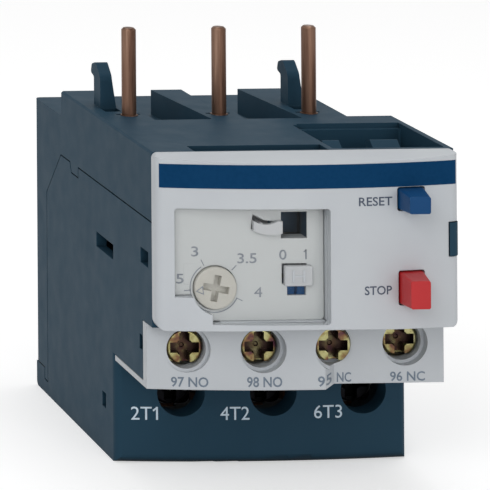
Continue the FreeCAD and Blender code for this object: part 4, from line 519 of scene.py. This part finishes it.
# %% Helpers for new pieces
def deselect():
    """Nothing selected, object mode."""
    if bpy.context.object and bpy.context.object.mode != "OBJECT":
        bpy.ops.object.mode_set(mode="OBJECT")
    bpy.ops.object.select_all(action="DESELECT")


def keep(piece, name, finish, body):
    """Names a finished piece, gives it its finish and lets it ride on a body."""
    piece.name = name
    piece.data.name = name
    piece.data.materials.clear()
    piece.data.materials.append(finish)
    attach(piece, body)
    print(name, len(piece.data.polygons), "faces on", body)


def settle(piece):
    """Place, turn and scale go into the mesh."""
    deselect()
    piece.select_set(True)
    bpy.context.view_layer.objects.active = piece
    bpy.ops.object.transform_apply(location=True, rotation=True, scale=True)


# %% Lay the band on the cover
band_width, band_height, band_z = 44.0 * MM, 3.5 * MM, 48.5 * MM
band_film = 0.05 * MM
ahead = 2 * MM
deselect()
bpy.ops.mesh.primitive_grid_add(x_subdivisions=80, y_subdivisions=36, size=1.0,
                                location=(0, cover_low[1] - ahead, band_z),
                                rotation=(math.radians(90), 0, 0))
band = bpy.context.object
band.scale = (band_width, band_height, 1.0)
settle(band)
press = band.modifiers.new("press", "SHRINKWRAP")
press.target = frame["nodes"]["front_cover"]
press.wrap_method = "PROJECT"
press.use_project_y = True
press.use_positive_direction = True
bpy.ops.object.modifier_apply(modifier=press.name)
thick = band.modifiers.new("film", "SOLIDIFY")
thick.thickness = band_film
thick.offset = 1.0
bpy.ops.object.modifier_apply(modifier=thick.name)
depths = [vertex.co.y / MM for vertex in band.data.vertices]
print("band depth from", round(min(depths), 2), "to", round(max(depths), 2), "mm")
keep(band, "front_band", navy_ink, "housing")

# %% [markdown]
# ## Words and numbers
# Blender's text objects make good print: the words become a mesh, the mesh is stretched to the
# sides of the print, and every point is set on the face behind it. On the bowed cover the
# depth changes along the word, so the letters follow the curve. Print stands out by its film,
# and its back lies a little below the face, so that no gap shows.

# %% Sizes that all print shares
INK_FILM = 0.03 * MM
SUNK = 0.01 * MM
SAME_POINT = 1e-7
print("print stands out by", round(INK_FILM / MM, 2), "mm")


# %% Helper that prints on a face
def letters(name, words, left, right, low, high, face, finish, body="housing",
            film=INK_FILM, weight=0.0):
    """Raised print between the given sides, in mm, on a face whose depth is a function."""
    deselect()
    bpy.ops.object.text_add(location=(0, 0, 0))
    text = bpy.context.object
    text.data.body = words
    text.data.offset = weight
    text.data.extrude = 0.5
    text.data.resolution_u = 3
    bpy.ops.object.convert(target="MESH")
    piece = bpy.context.object
    spots = [v.co.copy() for v in piece.data.vertices]
    x_low, x_high = min(p.x for p in spots), max(p.x for p in spots)
    y_low, y_high = min(p.y for p in spots), max(p.y for p in spots)
    z_low, z_high = min(p.z for p in spots), max(p.z for p in spots)
    for vertex, spot in zip(piece.data.vertices, spots):
        x = (left + (right - left) * (spot.x - x_low) / (x_high - x_low)) * MM
        z = (low + (high - low) * (spot.y - y_low) / (y_high - y_low)) * MM
        y = face(x) + SUNK - (film + SUNK) * (spot.z - z_low) / (z_high - z_low)
        vertex.co = (x, y, z)
    bpy.ops.object.mode_set(mode="EDIT")
    bpy.ops.mesh.select_all(action="SELECT")
    bpy.ops.mesh.remove_doubles(threshold=SAME_POINT)
    bpy.ops.object.mode_set(mode="OBJECT")
    keep(piece, name, finish, body)


# %% Print on the cover
letters("word_reset", "RESET", 6.85, 11.95, 44.05, 45.35, cover_face, black_ink, weight=0.012)
letters("word_stop", "STOP", 7.65, 11.8, 31.0, 32.3, cover_face, black_ink, weight=0.012)

# %% [markdown]
# ## Marks behind the flap
# The face plate behind the flap carries the current scale round the dial, and 0 and 1 beside
# the indicator. The scale is an arc with four ticks. A small flat rectangle spun about the
# dial's axis makes the arc, and a thin bar, turned to an angle, makes each tick. The
# typeface's 1 is a plain upright, so a slanted stroke gives it its flag.

# %% Print the numbers of the scale
dial_low, dial_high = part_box("setting_dial")
dial_radius = 3.15 * MM
dial_x = dial_low[0] + dial_radius
dial_z = (dial_low[2] + dial_high[2]) / 2


def pad_face(x):
    """Depth of the flat face plate."""
    return pad_y


letters("scale_3", "3", -17.15, -16.1, 36.4, 37.9, pad_face, window_ink, weight=0.01)
letters("scale_3_5", "3.5", -10.3, -7.45, 35.3, 36.8, pad_face, window_ink, weight=0.01)
letters("scale_4", "4", -7.85, -6.65, 30.3, 31.8, pad_face, window_ink)
letters("scale_low", "5", -19.43, -18.28, 32.45, 33.9, pad_face, window_ink, weight=0.01)
letters("flag_0", "0", -4.1, -3.0, 35.75, 37.25, pad_face, window_ink, weight=0.01)
letters("flag_1", "1", -0.22, -0.02, 35.8, 37.25, pad_face, window_ink, weight=0.01)


# %% Helpers for blocks, bars and strokes
def block(middle, size, rim=0.0):
    """Block of a size about its middle, its edges bevelled where a rim is given."""
    deselect()
    bpy.ops.mesh.primitive_cube_add(size=1.0)
    piece = bpy.context.object
    piece.location = middle
    piece.scale = size
    settle(piece)
    if rim > 0.0:
        soft = piece.modifiers.new("rim", "BEVEL")
        soft.width = rim
        soft.segments = 2
        bpy.ops.object.modifier_apply(modifier=soft.name)
    return piece


def bar(length, width, start, angle):
    """Bar as thick as the ink, from a start on a face, leading off at an angle above +X."""
    piece = block((length / 2, -INK_FILM / 2, 0), (length, INK_FILM, width))
    piece.location = start
    piece.rotation_euler = (0, -angle, 0)
    settle(piece)
    return piece


def stroke(name, x, z, length, width, depth, finish):
    """Slanted stroke that leads down to the left from the top of a 1, sides in mm."""
    piece = bar(length * MM, width * MM, (x * MM, depth, z * MM), math.radians(218))
    keep(piece, name, finish, "housing")


stroke("flag_1_stroke", -0.06, 37.17, 0.5, 0.17, pad_y, window_ink)

# %% Make the arc and the ticks
scale_marks = (("2_5", 185), ("3", 116), ("3_5", 45), ("4", -26))
first_tick, last_tick = math.radians(scale_marks[0][1]), math.radians(scale_marks[-1][1])
arc_inner = 3.58 * MM
arc_middle = arc_inner + 0.07 * MM
line_width, tick_length = 0.13 * MM, 1.0 * MM
deselect()
bpy.ops.mesh.primitive_plane_add(size=1.0, location=(0, 0, 0))
arc = bpy.context.object
arc.scale = (line_width, INK_FILM + SUNK, 1.0)
settle(arc)
arc.location = (dial_x + arc_middle * math.cos(last_tick), pad_y - (INK_FILM - SUNK) / 2,
                dial_z + arc_middle * math.sin(last_tick))
arc.rotation_euler = (0, -last_tick, 0)
settle(arc)
bpy.ops.object.mode_set(mode="EDIT")
bpy.ops.mesh.select_all(action="SELECT")
bpy.ops.mesh.spin(steps=60, angle=first_tick - last_tick, center=(dial_x, pad_y, dial_z),
                  axis=(0, -1, 0))
bpy.ops.mesh.select_all(action="SELECT")
bpy.ops.mesh.remove_doubles(threshold=SAME_POINT)
bpy.ops.mesh.normals_make_consistent(inside=False)
bpy.ops.object.mode_set(mode="OBJECT")
keep(arc, "scale_arc", window_ink, "housing")
arc_low = [min(v.co[i] for v in arc.data.vertices) / MM for i in range(3)]
arc_high = [max(v.co[i] for v in arc.data.vertices) / MM for i in range(3)]
print("arc box", [round(v, 2) for v in arc_low], [round(v, 2) for v in arc_high])
for number, angle in scale_marks:
    turn = math.radians(angle)
    start = (dial_x + arc_inner * math.cos(turn), pad_y, dial_z + arc_inner * math.sin(turn))
    tick = bar(tick_length, line_width, start, turn)
    keep(tick, "tick_" + number, window_ink, "housing")

# %% [markdown]
# ## The dial's pointer and the tile's mark
# A small triangle outlined on the dial points at the scale. A circle with three corners is a
# triangle; an inset leaves a rim, its middle goes, and an extrusion gives the rim its film.
# The mark on the trip indicator's tile is moulded, so it stands out more than ink does.

# %% Make the pointer
pointer_radius, pointer_rim = 0.78 * MM, 0.14 * MM
pointer_turn = math.radians(-97)
pointer_place = (dial_x - 2.25 * MM, dial_low[1], dial_z - 0.28 * MM)
deselect()
bpy.ops.mesh.primitive_circle_add(vertices=3, radius=pointer_radius, fill_type="NGON",
                                  location=(0, 0, 0))
pointer = bpy.context.object
bpy.ops.object.mode_set(mode="EDIT")
bpy.ops.mesh.select_all(action="SELECT")
bpy.ops.mesh.inset(thickness=pointer_rim, depth=0)
bpy.ops.mesh.delete(type="FACE")
bpy.ops.mesh.select_all(action="SELECT")
bpy.ops.mesh.extrude_region_move(TRANSFORM_OT_translate={"value": (0, 0, INK_FILM)})
bpy.ops.mesh.select_all(action="SELECT")
bpy.ops.mesh.normals_make_consistent(inside=False)
bpy.ops.object.mode_set(mode="OBJECT")
pointer.rotation_euler = (math.radians(90), pointer_turn, 0)
pointer.location = pointer_place
settle(pointer)
keep(pointer, "dial_pointer", window_ink, "dial")

# %% Raise the tile's mark
tile_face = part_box("trip_indicator")[0][1]
letters("tile_mark", "H", -2.45, -0.55, 32.6, 34.4, lambda x: tile_face, white_moulding,
        body="trip_flag", film=0.12 * MM)

# %% [markdown]
# ## Terminal numbers
# The control terminals are numbered in grey-blue under their screws, the power terminals in
# pale blue on the dark face, both bowed like the faces they stand on. The 5 of 95 lies on the
# slope between two terminals, so it is a print of its own.

# %% Measure the terminal faces
aux_front = seam_y + 1.0 * MM
aux_back = seam_y + 4.0 * MM
aux_bow = 1.8 * MM
step_start, step_run = 3.6 * MM, 2.4 * MM
lower_bow = 1.2 * MM
lower_middle = seam_y + 17.0 * MM


def aux_left_face(x):
    """Depth of the bowed left part of the control terminals and of the slope beside it."""
    slope = max(x - step_start, 0.0) * (aux_back - aux_front) / step_run
    return aux_front + aux_bow * (min(x, 0.0) / half_width) ** 2 + slope


def aux_right_face(x):
    """Depth of the set-back right part of the control terminals."""
    return aux_back


def lower_face(x):
    """Depth of the bowed dark face of the power terminals."""
    return bowed(lower_middle, lower_bow, x)


print("terminal faces in mm:", [round(face(0) / MM, 1) for face in (
    aux_left_face, aux_right_face, lower_face)])

# %% Print on the terminal faces
for name, words, left, right, low, high, face in (
        ("number_97", "97 NO", -19.05, -13.65, 16.2, 17.7, aux_left_face),
        ("number_98", "98 NO", -8.05, -2.85, 16.25, 17.8, aux_left_face),
        ("number_95_first", "9", 2.45, 3.52, 16.25, 17.8, aux_left_face),
        ("number_95_second", "5", 3.8, 5.3, 16.25, 17.8, aux_left_face),
        ("number_95_NC", "NC", 6.4, 8.55, 16.05, 17.5, aux_right_face),
        ("number_96", "96 NC", 14.4, 19.65, 16.05, 17.5, aux_right_face)):
    letters(name, words, left, right, low, high, face, grey_ink, weight=0.016)
for number, words, left, right in (("2", "2T1", -20.15, -16.1), ("4", "4T2", -6.65, -2.2),
                                   ("6", "6T3", 7.8, 12.2)):
    letters("power_" + number, words, left, right, 6.7, 8.7, lower_face, pale_ink)
stroke("power_1_stroke", -16.25, 8.55, 0.75, 0.27, lower_face(-16.4 * MM), pale_ink)

# %% [markdown]
# ## The well of the test lever
# Behind the square opening beside the test lever lies a dark blue slide. A thin plate with
# bevelled rims closes the well.

# %% Close the well
lever_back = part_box("test_lever")[1][1]
slide_side, slide_thickness = 4.6 * MM, 0.5 * MM
slide = block((-1.85 * MM, lever_back + 0.5 * MM, 40.85 * MM),
              (slide_side, slide_thickness, slide_side), 0.12 * MM)
keep(slide, "test_well_slide", well_dark, "housing")

# %% [markdown]
# ## The jamb of the window
# The cover is a shell, so its window would show a slit between the shell's back and the face
# plate. Two slim white strips stand in that slit, one upright and one along the sill.

# %% Line the window
strip_y, strip_depth = pad_y - 0.05 * MM, 1.5 * MM
for name, sides_x, sides_z in (("window_jamb", (2.62, 3.05), (26.9, 43.6)),
                               ("window_sill", (-13.0, 2.45), (26.73, 26.89))):
    middle = (sum(sides_x) / 2 * MM, strip_y, sum(sides_z) / 2 * MM)
    size = ((sides_x[1] - sides_x[0]) * MM, strip_depth, (sides_z[1] - sides_z[0]) * MM)
    keep(block(middle, size, 0.03 * MM), name, white_moulding, "housing")

# %% [markdown]
# ## The floor and the light
# The relay stands on a plain white floor under soft light. The camera, reflections and clear
# parts see the floor and the world brighter than they light the relay, so that the ground is
# pale and pale parts don't burn out. The floor still takes the relay's shadow.


# %% Lay the floor
def viewer_rays(owner):
    """1 for rays from the camera, off a glossy face or through a clear part, 0 for others."""
    rays = add(owner, "ShaderNodeLightPath")
    return largest(owner, [rays.outputs[kind] for kind in (
        "Is Camera Ray", "Is Glossy Ray", "Is Transmission Ray")])


deselect()
bpy.ops.mesh.primitive_plane_add(size=6.0, location=(0, 0, 0))
floor = bpy.context.object
floor.name = "floor"
floor_white, shader = start_finish("floor_white", (0.80, 0.80, 0.80), 0.9)
shader.inputs["Specular IOR Level"].default_value = 0.0
shader.inputs["Emission Color"].default_value = (1, 1, 1, 1)
glow = spread(floor_white, viewer_rays(floor_white), 0.0, 1.0, 0.0, 0.42)
join(floor_white, glow, shader.inputs["Emission Strength"])
floor.data.materials.append(floor_white)
floor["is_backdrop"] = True
print("floor", round(floor.dimensions.x, 1), "m wide")

# %% Light the world
world = bpy.data.worlds.new("studio")
bpy.context.scene.world = world
world.use_nodes = True
shed = world.node_tree.nodes["Background"]
shed.inputs["Color"].default_value = (1, 1, 1, 1)
shed.inputs["Strength"].default_value = 0.45
shown = add(world, "ShaderNodeBackground")
shown.inputs["Color"].default_value = (0.8, 0.8, 0.8, 1)
shown.inputs["Strength"].default_value = 1.0
choose = add(world, "ShaderNodeMixShader")
join(world, viewer_rays(world), choose.inputs["Fac"])
join(world, shed.outputs[0], choose.inputs[1])
join(world, shown.outputs[0], choose.inputs[2])
join(world, choose.outputs[0], world.node_tree.nodes["World Output"].inputs["Surface"])
print("world", world.name, "sheds", round(shed.inputs["Strength"].default_value, 2))


# %% Hang the lamps
relay_middle = Vector((0, 0, 0.03))


def lamp(name, place, size, watts):
    """Soft square lamp aimed at the relay's middle."""
    light = bpy.data.lights.new(name, "AREA")
    light.size = size
    light.energy = watts
    holder = bpy.data.objects.new(name, light)
    bpy.context.scene.collection.objects.link(holder)
    holder.location = place
    holder.rotation_euler = (Vector(place) - relay_middle).to_track_quat("Z", "Y").to_euler()
    print(name, watts, "W")


lamp("key_lamp", (-0.45, -0.60, 0.50), 0.45, 2.2)
lamp("top_lamp", (0.1, 0.15, 0.8), 0.5, 1.5)
lamp("front_lamp", (0.15, -0.8, 0.12), 0.5, 1.9)
bpy.context.scene.view_settings.view_transform = "Standard"

# %% Close the scene
low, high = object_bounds()
print("visual box in mm:", [round(v / MM, 1) for v in low], [round(v / MM, 1) for v in high])
